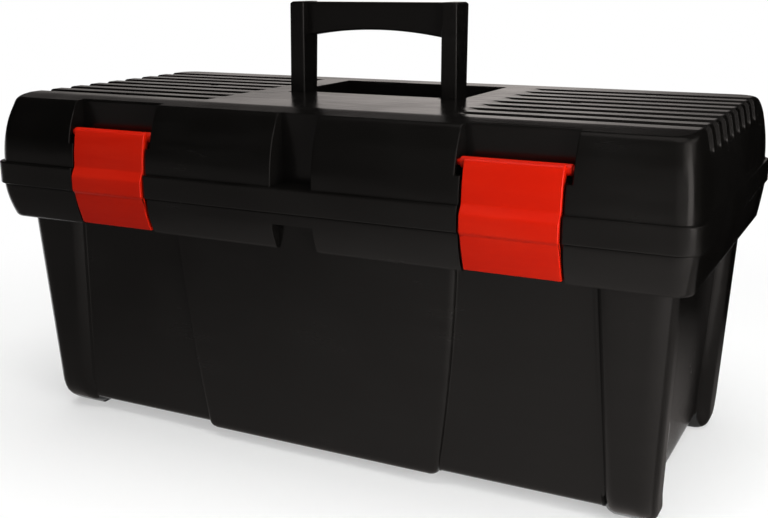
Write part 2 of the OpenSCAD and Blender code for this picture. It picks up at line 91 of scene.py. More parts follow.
def new_piece(name, bm, body, slot, angle):
    bmesh.ops.remove_doubles(bm, verts=bm.verts, dist=WELD)
    bmesh.ops.dissolve_degenerate(bm, edges=bm.edges, dist=NO_LENGTH)
    bmesh.ops.recalc_face_normals(bm, faces=bm.faces)
    mesh = bpy.data.meshes.new(name)
    bm.to_mesh(mesh)
    bm.free()
    mesh.shade_smooth()
    mesh.set_sharp_from_angle(angle=math.radians(angle))
    piece = bpy.data.objects.new(name, mesh)
    bpy.context.scene.collection.objects.link(piece)
    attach(piece, body)
    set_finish(piece, slot)
    weighted = piece.modifiers.new("even shading", "WEIGHTED_NORMAL")
    weighted.keep_sharp = True
    print(name, len(mesh.polygons), "faces")
    return piece

# %% [markdown]
# ## The lid's outer form
# The walls lean in as part of a large circle and end in a tight edge. Inside the front edge the top
# falls off a little, so the light on the flat top ends in a line there. The back turns over in a wide
# round, where the lid swings past the hinges.

# %% Curves of the lid's walls
FRONT_BULGE, END_BULGE, CORNER = 98.0, 200.0, 12.0
FRONT_EDGE, END_EDGE, BACK_ROUND = (2.5, 3.0), (2.8, 3.4), (24.0, 16.0)     # across, tall
CREASE, FALL = -98.5, 0.13     # where the fall in front begins, and how steep it is
SINK_H = 44.0                  # the walls share in the fall from this height up

def bulge(h, r):
    return BELT_T + max(h - BELT_H, 0) ** 2 / (2 * r)

def round_over(h, across, tall, top=LID_H):
    """How far a wall has turned in at height h, where it turns over into the top."""
    u = min(max(h - top + tall, 0) / tall, 1)
    return across * (1 - math.sqrt(1 - u * u))

def sink(y, h=LID_H):
    """How far the top has fallen off at y, which fades out down the wall."""
    d, s = max(CREASE - y, 0), min(max((h - SINK_H) / (LID_H - SINK_H), 0), 1)
    return FALL * (d - 1.5 * (1 - math.exp(-d / 1.5))) * s * s * (3 - 2 * s)

belt_levels = [(0.3, 1.0), (0.45, 0.45), (0.8, 0.12), (1.3, 0.0), (8.0, 0.0), (15.6, 0.0), (16.4, 0.15),
               (16.85, 0.5), (17.0, 1.0), (17.02, 2.5), (17.3, 2.9)]
wall_heights = [17.9, 19.5, 22, 25, 28, 31, 33.2, 34.4, 34.9, 37, 40, 43, 46.5, 49, 51.5, 54, 56.5, 58.5,
                60.3, 61.8, 62.8]
edge_turn = [math.radians(a) for a in (10, 20, 30, 40, 50, 58, 66, 73, 79, 84, 90)]
edge_heights = [LID_H - 3.2 * (1 - math.sin(t)) for t in edge_turn]
# A level is a height above the joint, and how far the ends, the front and the back stand in there.
lid_levels = [(h, i, i, i) for h, i in belt_levels]
lid_levels += [(h, bulge(h, END_BULGE) + round_over(h, *END_EDGE),
                bulge(h, FRONT_BULGE) + round_over(h, *FRONT_EDGE),
                bulge(h, FRONT_BULGE) + round_over(h, *BACK_ROUND)) for h in wall_heights + edge_heights]
print("lid levels", len(lid_levels), "half length and depth of the top", round(HX - lid_levels[-1][1], 1),
      round(HY - lid_levels[-1][2], 1))

# %% [markdown]
# ## Zones along the front
# The front wall changes its section where the latches and the padlock sit. A zone is one such section:
# R the plain wall, P the channel behind a latch, E the pocket for the latch's ears, L the padlock recess.
# Between two zones the wall turns in over a small lip, as moulded corners do.

# %% Sections of the front wall
EAR, CHANNEL, LOCK = 36.5, 32.8, 15.5          # half widths of the three openings
POCKET_Y, LOCK_Y = -112.0, -114.0
EAR_Z, EAR_H = 220.4, 34.5                     # the pocket's floor, in the frame and above the joint
channel_z = [186.0, 198.0, 204.5, 215.45, EAR_Z]
channel_y = [-130.4, -130.4, -126.59, -125.81, -123.66]

def front_section(zone, level):
    h, _, iy, _ = level
    y, z = -(HY - iy), JOINT + h
    pocket = POCKET_Y + round_over(h, 1.5, 1.5)
    if zone in "PE" and h > EAR_H and y < pocket:
        return pocket, EAR_Z if h < EAR_H + 0.5 else z
    if zone == "P" and h < EAR_H:
        return float(np.interp(z, channel_z, channel_y)), z
    if zone == "L" and h > BELT_H + 0.01 and y < LOCK_Y:
        return LOCK_Y, z
    return y, z

def turned_in(a, b, pull):
    """Point a, drawn towards b by at most pull."""
    gap = math.hypot(b[0] - a[0], b[1] - a[1])
    t = min(1, pull / gap) if gap > 1e-9 else 0
    return a[0] + (b[0] - a[0]) * t, a[1] + (b[1] - a[1]) * t

def lip_columns(x, outer, inner, side):
    """Columns across one lip at x. side is +1 where the inner zone lies at larger x."""
    steps = [(-0.9, outer, 0), (-0.35, outer, 0.08), (-0.1, outer, 0.28), (0.0, outer, 0.7), (0.02, inner, 0)]
    return [(x + side * dx, zone, inner if pull else zone, pull) for dx, zone, pull in steps]

front_columns = []
for s in (-1, 1):
    for edge, outer, inner in ((EAR, "R", "E"), (CHANNEL, "E", "P")):
        front_columns += lip_columns(s * LATCH_X - edge, outer, inner, 1)
        front_columns += lip_columns(s * LATCH_X + edge, outer, inner, -1)
front_columns += lip_columns(-LOCK, "R", "L", 1) + lip_columns(LOCK, "R", "L", -1)

def zone_at(x):
    d = abs(abs(x) - LATCH_X)
    return "P" if d < CHANNEL else "E" if d < EAR else "L" if abs(x) < LOCK else "R"

print("columns at the lips", len(front_columns))

# %% [markdown]
# ## The grooved top
# Eight grooves run along each end of the top, over the edge and a little way down the end wall. Their
# inner ends rise to nothing in a long ramp. The handle's well is a pit in the same top.

# %% Grooves, well and moulding mark
GROOVES = [-82.6 + 21.9 * i for i in range(8)]
# A groove's side: the distance from its middle line, and the part of its full depth there.
groove_side = [(6.5, 0), (6.15, 0.02), (5.95, 0.10), (5.4, 0.9), (5.2, 0.98), (4.85, 1)]
GROOVE_D, RAMP_0, RAMP_1 = 3.3, 93.0, 119.0
WELL_X, WELL_0, WELL_1, WELL_Z = 69.2, -12.1, 76.4, 227.9
LEG_X, LEG_0 = 54.3, -19.0                     # the slots in the well's front corners, for the handle's legs
MARK_X, MARK_R, MARK_D = 149.25, 4.2, 0.8      # round sinks left by the mould's pins

def groove_depth(y):
    d = min(abs(y - c) for c in GROOVES)
    far, deep = zip(*groove_side[::-1])
    return GROOVE_D * float(np.interp(d, far, deep))

def in_rect(x, y, x0, x1, y0, y1):
    """Distance from a rectangle, which is 0 inside it."""
    return math.hypot(max(x0 - x, 0, x - x1), max(y0 - y, 0, y - y1))

def top_height(x, y):
    pit = min(in_rect(abs(x), y, 0, WELL_X, WELL_0, WELL_1), in_rect(abs(x), y, LEG_X, WELL_X, LEG_0, 0))
    if pit < 1e-6:
        return WELL_Z
    drop = LIP - math.sqrt(LIP * LIP - (LIP - pit) ** 2) if pit < LIP else 0
    ramp = min(max((abs(x) - RAMP_0) / (RAMP_1 - RAMP_0), 0), 1)
    mark = math.hypot(abs(x) - MARK_X, y)
    drop += MARK_D * min(max((MARK_R - mark) / 0.7, 0), 1)
    return TOP - max(drop, groove_depth(y) * ramp)

def lip_steps(v, side):
    """Positions across a lip whose pit lies on the given side of v."""
    return [v - side * d for d in (-0.02, 0.02, 0.1, 0.25, 0.45, 0.8)]

def spread(values, low, high, step):
    """Adds evenly spaced values where the gaps are wider than step."""
    values = sorted(set([round(v, 4) for v in values if low < v < high] + [low, high]))
    out = []
    for a, b in zip(values, values[1:]):
        n = max(1, math.ceil((b - a) / step))
        out += [a + (b - a) * i / n for i in range(n)]
    return out + [values[-1]]

mark_steps = (-4.6, -4.2, -3.85, -3.5, -2, 0, 2, 3.5, 3.85, 4.2, 4.6)
cols = [c[0] for c in front_columns] + [s * v for s in (-1, 1) for v in (RAMP_0, 96, 101, 107, 113, RAMP_1)]
cols += lip_steps(-WELL_X, 1) + lip_steps(WELL_X, -1) + lip_steps(LEG_X, 1) + lip_steps(-LEG_X, -1)
cols += [s * MARK_X + v for s in (-1, 1) for v in mark_steps]
lid_cols = spread(cols, -226.0, 226.0, 9)      # the corners' arcs begin after the last ones
rows = [c + s * o for c in GROOVES for s in (-1, 1) for o, _ in groove_side] + GROOVES
rows += lip_steps(WELL_0, 1) + lip_steps(WELL_1, -1) + lip_steps(LEG_0, 1) + [0.02] + list(mark_steps)
rows += [CREASE + v for v in (-4, -2, -0.8, 0.4)]
lid_rows = spread(rows, -104.0, 82.0, 6)
print("lid columns", len(lid_cols), "rows", len(lid_rows))

# %% [markdown]
# ## A shell from rings and rows
# The lid is one woven sheet of squares: rings go round the walls, and the top is filled with rows that
# start and end on the last ring. Grooves, pockets and the well are then only a matter of where a point
# of this sheet lies, so no cutting is needed and every lip can be round.

# %% Weaving a shell
ARC = 8                        # steps round each corner

def sleeve(bm, rings):
    """Walls of four-cornered faces from each ring of points to the next."""
    for low, high in zip(rings, rings[1:]):
        for i in range(len(low)):
            j = (i + 1) % len(low)
            bm.faces.new((low[i], low[j], high[j], high[i]))

def ring_slots(cols, rows):
    arcs = {q: [("arc", q, 90 * (q - 1) + 90 * t / ARC) for t in range(ARC + 1)] for q in range(4)}
    return ([("front", x) for x in cols] + arcs[0] + [("right", y) for y in rows] + arcs[1]
            + [("back", x) for x in cols[::-1]] + arcs[2] + [("left", y) for y in rows[::-1]] + arcs[3])

def arc_point(q, degrees, x, y, r):
    sx, sy = (1, 1, -1, -1)[q], (-1, 1, 1, -1)[q]
    a = math.radians(degrees)
    return sx * (x - r) + r * math.cos(a), sy * (y - r) + r * math.sin(a)

def weave(bm, cols, rows, count, wall_point, top_point):
    slots = ring_slots(cols, rows)
    rings = [[bm.verts.new(metres(wall_point(slot, k))) for slot in slots] for k in range(count)]
    sleeve(bm, rings)
    last, nx, ny, n = rings[-1], len(cols), len(rows), ARC + 1
    front, arc0, right = 0, nx, nx + n
    arc1, back = nx + n + ny, nx + 2 * n + ny
    arc2, left, arc3 = 2 * nx + 2 * n + ny, 2 * nx + 3 * n + ny, 2 * nx + 3 * n + 2 * ny
    def row(a, b):
        y = (a.co.y + b.co.y) * 500 - MID_Y
        return [a] + [bm.verts.new(metres(top_point(x, y))) for x in cols] + [b]
    table = [[last[arc3 + ARC]] + last[front:front + nx] + [last[arc0]]]
    table += [row(last[arc3 + ARC - t], last[arc0 + t]) for t in range(1, n)]
    table += [row(last[left + ny - 1 - j], last[right + j]) for j in range(ny)]
    table += [row(last[arc2 + ARC - t], last[arc1 + t]) for t in range(ARC)]
    table += [[last[arc2]] + last[back:back + nx][::-1] + [last[arc1 + ARC]]]
    for a, b in zip(table, table[1:]):
        for i in range(len(a) - 1):
            bm.faces.new((a[i], a[i + 1], b[i + 1], b[i]))
    print("woven sheet of", len(slots), "places round and", count, "rings")

# %% Closing a shell
def report_open(bm, name):
    print(name, "open edges", sum(len(e.link_faces) != 2 for e in bm.edges))

def close_rim(bm, name):
    """Fills the narrow strip between two skins, where their edges have one face only."""
    rim = [e for e in bm.edges if len(e.link_faces) == 1]
    bmesh.ops.triangle_fill(bm, edges=rim, use_beauty=True)
    report_open(bm, name)

# %% The lid's outer skin
column_zone = {round(x, 4): (zone, other, pull) for x, zone, other, pull in front_columns}
end_run = [(HX - ix, JOINT + h) for h, ix, *_ in lid_levels]
GROOVE_FOOT, GROOVE_FULL = 48.5, 57.0      # heights on the end wall between which the grooves deepen

def groove_shift(k):
    """How far a groove's floor lies inside the end wall at a level, and which way."""
    x0, z0 = end_run[max(k - 1, 0)]
    x1, z1 = end_run[min(k + 1, len(end_run) - 1)]
    size = math.hypot(x1 - x0, z1 - z0)
    t = min(max((lid_levels[k][0] - GROOVE_FOOT) / (GROOVE_FULL - GROOVE_FOOT), 0), 1)
    t = t * t * (3 - 2 * t)
    nx, nz = ((z1 - z0) / size, (x0 - x1) / size) if k < len(end_run) - 1 else (0, 1)
    return -nx * t, -nz * t

def lid_wall(slot, k):
    h, ix, front_in, back_in = lid_levels[k]
    x, z = HX - ix, JOINT + h
    side, v = slot[0], slot[1]
    if side == "arc":
        wall_in = front_in if v in (0, 3) else back_in
        radius = CORNER + (1 if h < BELT_H - 0.1 else 0)
        px, py = arc_point(v, slot[2], x, HY - wall_in, radius)
        return px, py, z - sink(py, h)
    if side == "back":
        return v, HY - back_in, z
    if side == "front":
        zone, other, pull = column_zone.get(round(v, 4), (zone_at(v), zone_at(v), 0))
        p = turned_in(front_section(zone, lid_levels[k]), front_section(other, lid_levels[k]), pull)
        return v, p[0], p[1] - sink(p[0], h)
    gx, gz = groove_shift(k)
    d = groove_depth(v)
    return (1 if side == "right" else -1) * (x + gx * d), v, z + gz * d - sink(v, h)

def lid_top(x, y):
    if zone_at(x) in "PE":
        y = max(y, POCKET_Y + 1.5)      # the pockets reach up to the rim
    return x, y, top_height(x, y) - sink(y)

# %% [markdown]
# ## The inside of the lid
# A moulding has nearly the same thickness everywhere, or it would sink and warp as it cools. So the inner
# skin follows the outer one a wall's thickness in, and steps in behind each pocket. The two skins are
# joined at their rims, which makes the lid a closed solid.

# %% The lid's inner skin
IN_CORNER, CAVITY_H, CAVITY_R = 10.0, 60.0, 12.0
PIT_Z = 225.6                                  # underside of the handle's well
BEHIND_EAR, BEHIND_CHANNEL, BEHIND_LOCK = 41.3, 35.4, 18.1      # half widths of the walls behind the openings
SHELF_H, CHANNEL_H = 31.8, 9.5                 # where those behind the pocket and the channel begin
inner_heights = [0.3, 6, 9.4, 9.6, 16, 19, 24, 29, 31.7, 31.9, 36, 40, 44, 48, 51, 54, 56.5, 58.4, 59.6, 60]

def inner_size(h):
    grow = min(max((h - 38) / 6, 0), 1) * GROOVE_D
    i = WALL + round_over(h, CAVITY_R, CAVITY_R, CAVITY_H)
    return HX - bulge(h, END_BULGE) - i - grow, HY - bulge(h, FRONT_BULGE) - i

def inner_front(x, h, y):
    d = abs(abs(x) - LATCH_X)
    if d < BEHIND_EAR and h > SHELF_H:
        return max(y, POCKET_Y + WALL)
    if d < BEHIND_CHANNEL and h > CHANNEL_H:
        return max(y, float(np.interp(JOINT + h, channel_z, channel_y)) + 2.4)
    if abs(x) < BEHIND_LOCK and h > CHANNEL_H:
        return max(y, LOCK_Y + WALL)
    return y

def inner_wall(slot, k):
    h = inner_heights[k]
    x, y = inner_size(h)
    side, v = slot[0], slot[1]
    if side == "arc":
        return (*arc_point(v, slot[2], x, y, IN_CORNER), JOINT + h)
    if side in ("front", "back"):
        return v, inner_front(v, h, -y) if side == "front" else y, JOINT + h
    return (x if side == "right" else -x), v, JOINT + h

def inner_top(x, y):
    deep = in_rect(abs(x), y, 0, WELL_X + WALL, LEG_0 - WALL, WELL_1 + WALL) < 1e-6
    return x, y, PIT_Z if deep else JOINT + CAVITY_H

def both(v, gap=0.02):
    return [v - gap, v + gap]

inner_cols = [q for s in (-1, 1) for e in (BEHIND_EAR, BEHIND_CHANNEL) for t in (-1, 1)
              for q in both(s * LATCH_X + t * e)]
inner_cols += [q for s in (-1, 1) for e in (BEHIND_LOCK, WELL_X + WALL) for q in both(s * e)]
inner_cols = spread(inner_cols, -222, 222, 16)
inner_rows = spread(both(LEG_0 - WALL) + both(WELL_1 + WALL), -86, 86, 14)

bm = bmesh.new()
weave(bm, lid_cols, lid_rows, len(lid_levels), lid_wall, lid_top)
weave(bm, inner_cols, inner_rows, len(inner_heights), inner_wall, inner_top)
close_rim(bm, "lid skin")

# %% [markdown]
# ## Hinge knuckles
# Two knuckles stand on the lid's back wall. Each is a short tube with a web to the wall, closed round
# the steel pin. They are lathed by turning a ring, and joined to the lid's mesh.

# %% Tubes, rods and prisms
ROUND = 40                     # sides of a bar

def capped(bm, rings):
    sleeve(bm, rings)
    bm.faces.new(rings[0])
    bm.faces.new(rings[-1])

def eased_ends(x0, x1, ease):
    """Places along a bar, each with how far its skin stands in there."""
    low = [(x0, ease), (x0 + ease * 0.3, ease * 0.3), (x0 + ease, 0)]
    return low + [(x1 - ease, 0), (x1 - ease * 0.3, ease * 0.3), (x1, ease)]

def tube(bm, x0, x1, y, z, outer_d, inner_d=0.0, ease=0.5):
    """A round bar along X with eased ends, bored where inner_d is given."""
    ro, ri = outer_d / 2, inner_d / 2
    line = [(x, ro - d) for x, d in eased_ends(x0, x1, ease)]
    if ri:
        line += [(x1, ri), (x0, ri)]
    turn = [2 * math.pi * i / ROUND for i in range(ROUND)]
    rings = [[bm.verts.new(metres((x, y + r * math.cos(a), z + r * math.sin(a)))) for a in turn]
             for x, r in line]
    if ri:
        sleeve(bm, rings + rings[:1])
    else:
        capped(bm, rings)

def prism(bm, outline, x0, x1, ease=0.5):
    """An outline in the upright plane across the case, run from x0 to x1 with eased ends."""
    n = len(outline)
    cy, cz = sum(p[0] for p in outline) / n, sum(p[1] for p in outline) / n
    def shrunk(p, d):
        size = math.hypot(p[0] - cy, p[1] - cz)
        return p[0] - (p[0] - cy) * d / size, p[1] - (p[1] - cz) * d / size
    capped(bm, [[bm.verts.new(metres((x, *shrunk(p, d)))) for p in outline]
                for x, d in eased_ends(x0, x1, ease)])

# %% The lid's knuckles
HINGE_X, HINGE_Y, HINGE_Z = 150.0, 139.5, 184.0
KNUCKLE_D, KNUCKLE_W, HINGE_PIN_D = 10.0, 21.0, 5.0
for s in (-1, 1):
    x0, x1 = s * HINGE_X - KNUCKLE_W / 2, s * HINGE_X + KNUCKLE_W / 2
    tube(bm, x0, x1, HINGE_Y, HINGE_Z, KNUCKLE_D, HINGE_PIN_D + 0.2)
    web = [(HY - 2, 186.4), (HINGE_Y - 3.6, HINGE_Z + 2.2), (HINGE_Y - 2.6, HINGE_Z + 3.6),
           (HINGE_Y - 0.6, HINGE_Z + 4.9), (HY + 0.9, 197), (HY, 198.5), (HY - 2, 198)]
    prism(bm, web, x0 + 0.4, x1 - 0.4)
lid = new_piece("lid_moulding", bm, "lid", "black_pp", angle=40)
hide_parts("lid")

# %% [markdown]
# ## The tub's outer form
# Four columns carry the tub. They taper towards the floor and run in at the toe. The fields between them
# lie back, and a wide panel stands forward at the front and back. Above, the collar leans out to the lid.

# %% Sizes of the tub's walls
COLLAR_Z = 160.0                                  # lower edge of the collar
COLUMN_X, COLUMN_Y = 247.2, 115.5                 # half length and half depth over the columns, up there
TAPER_X, TAPER_Y = 7.5, 8.0                       # how much less they are at the floor
COLUMN_W, FOOT_W, COLUMN_D = 50.0, 32.0, 37.0     # a column's width in front, above and below, and depth
FIELD_X, FIELD_Y, PANEL_Y = 10.0, 7.0, 2.5        # how far fields and panel lie behind the columns
PANEL_W, PANEL_FOOT_W = 218.0, 184.0              # the panel's width, above and below
TOE_IN, TOE_H = 20.0, 22.0                        # the toes run in by this much, from this height down
FLOORS = {"column": 0.0, "field": 9.0, "panel": 7.0}      # height of the underside
INNER_UP = {"column": 3.5, "field": 3.0, "panel": 3.0}    # thickness of the floor
COLUMN_U, PANEL_U, END_V = 198.0, 109.0, 78.5     # edges of the zones, just under the collar
LAST_U, LAST_V = 236.0, 104.0                     # last column and row of the sheet, before the corners
KNEE = 12.0                                       # under this height the zones' edges run straight down
FRONT_FOOT, END_FOOT, TOE_ROUND = 7, 4, 9         # radii at a column's foot: front, end and toe
SOFT, PANEL_ROUND, FIELD_ROUND = 6, 4, 1.0        # radii of the undersides, and of the panel and fields
OVAL = 0.8                                        # width to height of the rounds at a foot

def side_x(z):
    return COLUMN_X - TAPER_X * (1 - z / COLLAR_Z)

def side_y(z):
    return COLUMN_Y - TAPER_Y * (1 - z / COLLAR_Z)

def column_edge(z):
    z = max(z, KNEE)
    return side_x(z) - FOOT_W - (COLUMN_W - FOOT_W) * z / COLLAR_Z

def panel_edge(z):
    t = 1 - max(z, KNEE) / COLLAR_Z
    return (PANEL_FOOT_W + (PANEL_W - PANEL_FOOT_W) * (1 - t * t * 0.6 - t * 0.4)) / 2

def end_edge(z):
    return side_y(max(z, KNEE)) - COLUMN_D

def round_in(d, r):
    """Depth of a round of radius r at distance d from its edge."""
    d = max(d, 0)
    return r - math.sqrt(r * r - (r - d) ** 2) if d < r else 0.0

def toe(h):
    return TOE_IN * max(1 - h / TOE_H, 0) ** 2

def end_toe(h):
    return OVAL * round_in(h, TOE_ROUND)

def foot_radius(h):
    return min(13, 6 + 0.4 * h)

# %% Levels of the tub's foot
column_h = [22, 17, 13, 10, 7.5, 5.5, 4, 2.5, 1.2, 0.4, 0]
soft_h = [13, 10, 8, 7, 6.4, 6, 4.1, 2.5, 1.1, 0.3, 0]

def rise(zone, g):
    """How far the inner skin's floor lies above the outer one. g is 0 outside, the wall's thickness inside."""
    return INNER_UP[zone] if g else 0

def height(level, zone, g):
    """A level is a plain height, or a step of the foot, which lies at another height in each zone."""
    if level[0] == "z":
        return level[1]
    return FLOORS[zone] + rise(zone, g) + (column_h if zone == "column" else soft_h)[level[1]]

print("tub at the floor", 2 * side_x(0), "by", 2 * side_y(0), "with", len(column_h), "steps in the foot")

# %% Places along the tub's front and ends
def along_x(u, z, g):
    """Real x of a place u along the front, at height z."""
    a, pe, ce = abs(u), panel_edge(z) - g, column_edge(z) + g
    h = z - rise("column", g)
    far = side_x(z) - g - end_toe(h) - foot_radius(h) - 0.6
    x = np.interp(a, [0, PANEL_U - 7, PANEL_U + 1.5, COLUMN_U - 1.2, COLUMN_U + 9, LAST_U],
                  [0, pe - 7, pe + 1.5, ce - 1.2, ce + 9, max(far, ce + 9.1)])
    return math.copysign(float(x), u)

def along_y(v, z, g):
    a, e = abs(v), end_edge(z) + g
    h = z - rise("column", g)
    far = side_y(z) - g - toe(h) - foot_radius(h) - 0.5
    y = np.interp(a, [0, END_V - 1.2, END_V + 6, LAST_V], [0, e - 1.2, e + 6, max(far, e + 6.1)])
    return math.copysign(float(y), v)

# %% Where a point of the tub's front, end or corner lies
def edge_round(d, h, foot, g, most):
    """How far a column's edge has turned in, at distance d from it and height h over the floor."""
    return min(round_in(d - OVAL * round_in(h, foot), foot_radius(h) - min(g, 2)), most)

def front_spot(u, level, g, out):
    a = abs(u)
    if a >= COLUMN_U:
        d = a - COLUMN_U
        h = max(height(level, "column", g) - rise("column", g), round_in(d / OVAL, FRONT_FOOT))
        z = h + rise("column", g)
        inset = toe(h) + edge_round(d, h, FRONT_FOOT, g, FIELD_Y - 1)
    elif a <= PANEL_U:
        floor = FLOORS["panel"] + rise("panel", g)
        d = PANEL_U - a
        z = max(height(level, "panel", g), floor + round_in(d, SOFT))
        low = round_in(z - floor, SOFT)
        inset = PANEL_Y + min(round_in(d - low, PANEL_ROUND), FIELD_Y - PANEL_Y - 1) + low
    else:
        z = height(level, "field", g)
        low = round_in(z - FLOORS["field"] - rise("field", g), SOFT)
        inset = FIELD_Y - round_in(min(COLUMN_U - a, a - PANEL_U), FIELD_ROUND) + low
    return along_x(u, z, g), side_y(z) - g - inset + out, z

def end_spot(v, level, g, out):
    a = abs(v)
    if a >= END_V:
        d = a - END_V
        h = max(height(level, "column", g) - rise("column", g), round_in(d / OVAL, END_FOOT))
        z = h + rise("column", g)
        inset = end_toe(h) + edge_round(d, h, END_FOOT, g, FIELD_X - 1)
    else:
        z = height(level, "field", g)
        low = round_in(z - FLOORS["field"] - rise("field", g), SOFT)
        inset = FIELD_X - round_in(END_V - a, FIELD_ROUND) + low
    return side_x(z) - g - inset + out, along_y(v, z, g), z

def corner_spot(q, degrees, level, g, out):
    z = height(level, "column", g)
    h = z - rise("column", g)
    x, y = side_x(z) - g - end_toe(h) + out, side_y(z) - g - toe(h) + out
    return (*arc_point(q, degrees, x, y, foot_radius(h) - min(g, 2) + out), z)

def wall_spot(slot, level, g, out):
    """A point of the tub's wall under the collar, moved outwards by out."""
    side, v = slot[0], slot[1]
    if side == "arc":
        return corner_spot(v, slot[2], level, g, out)
    if side in ("front", "back"):
        x, y, z = front_spot(v, level, g, out)
        return x, (-y if side == "front" else y), z
    x, y, z = end_spot(v, level, g, out)
    return (x if side == "right" else -x), y, z

# %% The tub's underside
def under(g):
    """The tub's underside, or its inner floor: feet at the corners, and the panel's bar across."""
    def spot(u, y):
        a, field = abs(u), FLOORS["field"] + rise("field", g)
        z = field
        dx, dy = a - COLUMN_U, abs(y) - end_edge(0) - g
        if dx >= 0 and dy >= 0:
            z = rise("column", g) + max(round_in(dx / OVAL, FRONT_FOOT), round_in(dy / OVAL, END_FOOT))
        elif a <= PANEL_U:
            z = min(field, FLOORS["panel"] + rise("panel", g) + round_in(PANEL_U - a, SOFT))
        return along_x(u, 0 if dx >= 0 else FLOORS["field"], g), y, z
    return spot

for x in (0, 150, 220):
    print("underside at x", x, "is", round(under(0.0)(x, 100)[2], 2), "high")

# %% [markdown]
# ## Collar, tongue and ledge
# The tongue on the collar's top edge reaches up inside the lid. The collar is cut through where the
# latches' hooks come down, and notched in the middle for the padlock. The tray stands on the ledge inside.

# %% Collar and tongue
TIN_X, TIN_Y = 255.4, 127.9                    # half length and half depth over the tongue
NOTCH_TOP, NOTCH_Y = 178.0, -122.0             # the notch for the padlock
TONGUE_GAP, TONGUE_FOOT = 18.6, 186.03         # the tongue is cut down to this height in the middle

def collar_x(z):
    return HX - 1.5 - 3.2 * (1 - (z - COLLAR_Z) / (JOINT - COLLAR_Z))

def collar_y(z):
    return HY - 2.5 - 7.0 * (1 - (z - COLLAR_Z) / (JOINT - COLLAR_Z)) ** 2

tongue_run = [(194.0, 1.2), (193.93, 0.95), (193.75, 0.75), (193.4, 0.62), (190, 0.3), (186.6, 0.02),
              (186.2, -0.1), (186.04, -0.5)]
collar_levels = [185.4, 184, 183, 181, 178.12, NOTCH_TOP, 177.88, 176, 174, 172, 170, 168,
                 166.32, 166.2, 166.08, 165, 163.5, 162.2, 161.2]
# A plain level is a height, the half length and half depth there, and the radius of the corners.
tub_plain = [(z, TIN_X - i, TIN_Y - i, 9) for z, i in tongue_run]
tub_plain += [(186.0, 259.0, 130.5, 11), (185.93, 259.5, 131.0, 11.5), (185.75, 259.8, 131.3, 11.8)]
tub_plain += [(z, collar_x(z), collar_y(z), 12) for z in collar_levels]
tub_plain += [(COLLAR_Z + up, collar_x(COLLAR_Z) - i, collar_y(COLLAR_Z) - i, 12 - i)
              for up, i in ((0.75, 0.08), (0.4, 0.25), (0.15, 0.5), (0.03, 0.8), (0.0, 1.3))]
tub_wall_levels = [(("z", 159.96), 0.8), (("z", 159.8), 0.4), (("z", 159.5), 0.12), (("z", 159.0), 0)]
tub_wall_levels += [(("z", z), 0) for z in (150, 138, 125, 112, 99, 86, 73, 60, 47, 36, 28)]
tub_wall_levels += [(("foot", i), 0) for i in range(len(column_h))]
print("levels of the tub's outer skin", len(tub_plain) + len(tub_wall_levels))

# %% The collar's openings
# The channel behind a latch goes on down the collar, and steps in where the hook catches.
channel_back = [(160.0, -120.24), (166.15, -120.24), (166.25, -122.94), (172, -124.97), (183, -128.8),
                (185.5, channel_y[0]), (186, channel_y[0])]

def collar_front(zone, z, y):
    if zone == "P" and z < TONGUE_FOOT:
        return float(np.interp(z, *zip(*channel_back)))
    if zone == "L" and z < NOTCH_TOP:
        return NOTCH_Y
    return -y

tub_columns = []
for s in (-1, 1):
    tub_columns += lip_columns(s * LATCH_X - CHANNEL, "R", "P", 1)
    tub_columns += lip_columns(s * LATCH_X + CHANNEL, "R", "P", -1)
tub_columns += lip_columns(-LOCK, "R", "L", 1) + lip_columns(LOCK, "R", "L", -1)
tub_zone = {round(x, 4): (zone, other, pull) for x, zone, other, pull in tub_columns}

def tub_zone_at(x):
    return "P" if abs(abs(x) - LATCH_X) < CHANNEL else "L" if abs(x) < LOCK else "R"

def plain_spot(slot, level):
    """A point of a plain ring with round corners, such as the collar's and the tongue's."""
    side, v = slot[0], slot[1]
    z, x, y, r = level
    if side == "arc":
        return (*arc_point(v, slot[2], x, y, r), z)
    if side in ("right", "left"):
        return (x if side == "right" else -x), v * (y - r - 0.5) / LAST_V, z
    near = COLUMN_U + 5
    u = v if abs(v) < near else math.copysign(np.interp(abs(v), [near, LAST_U], [near, x - r - 0.6]), v)
    return u, (-y if side == "front" else y), z

def tub_outer(slot, k):
    side, v = slot[0], slot[1]
    if k >= len(tub_plain):
        level, out = tub_wall_levels[k - len(tub_plain)]
        return wall_spot(slot, level, 0.0, out)
    x, y, z = plain_spot(slot, tub_plain[k])
    if side != "front":
        return x, y, z
    if abs(v) < TONGUE_GAP and z > TONGUE_FOOT:
        return x, y, TONGUE_FOOT
    zone, other, pull = tub_zone.get(round(v, 4), (tub_zone_at(v), tub_zone_at(v), 0))
    a, b = collar_front(zone, z, -y), collar_front(other, z, -y)
    return x, a + max(-pull, min(pull, b - a)), z

# %% [markdown]
# ## The inside of the tub
# Inside, the same levels are drawn a wall's thickness in. Above the ledge that carries the tray, the walls
# stand further out, and blocks behind the latches' hooks and the padlock's notch keep the collar closed.

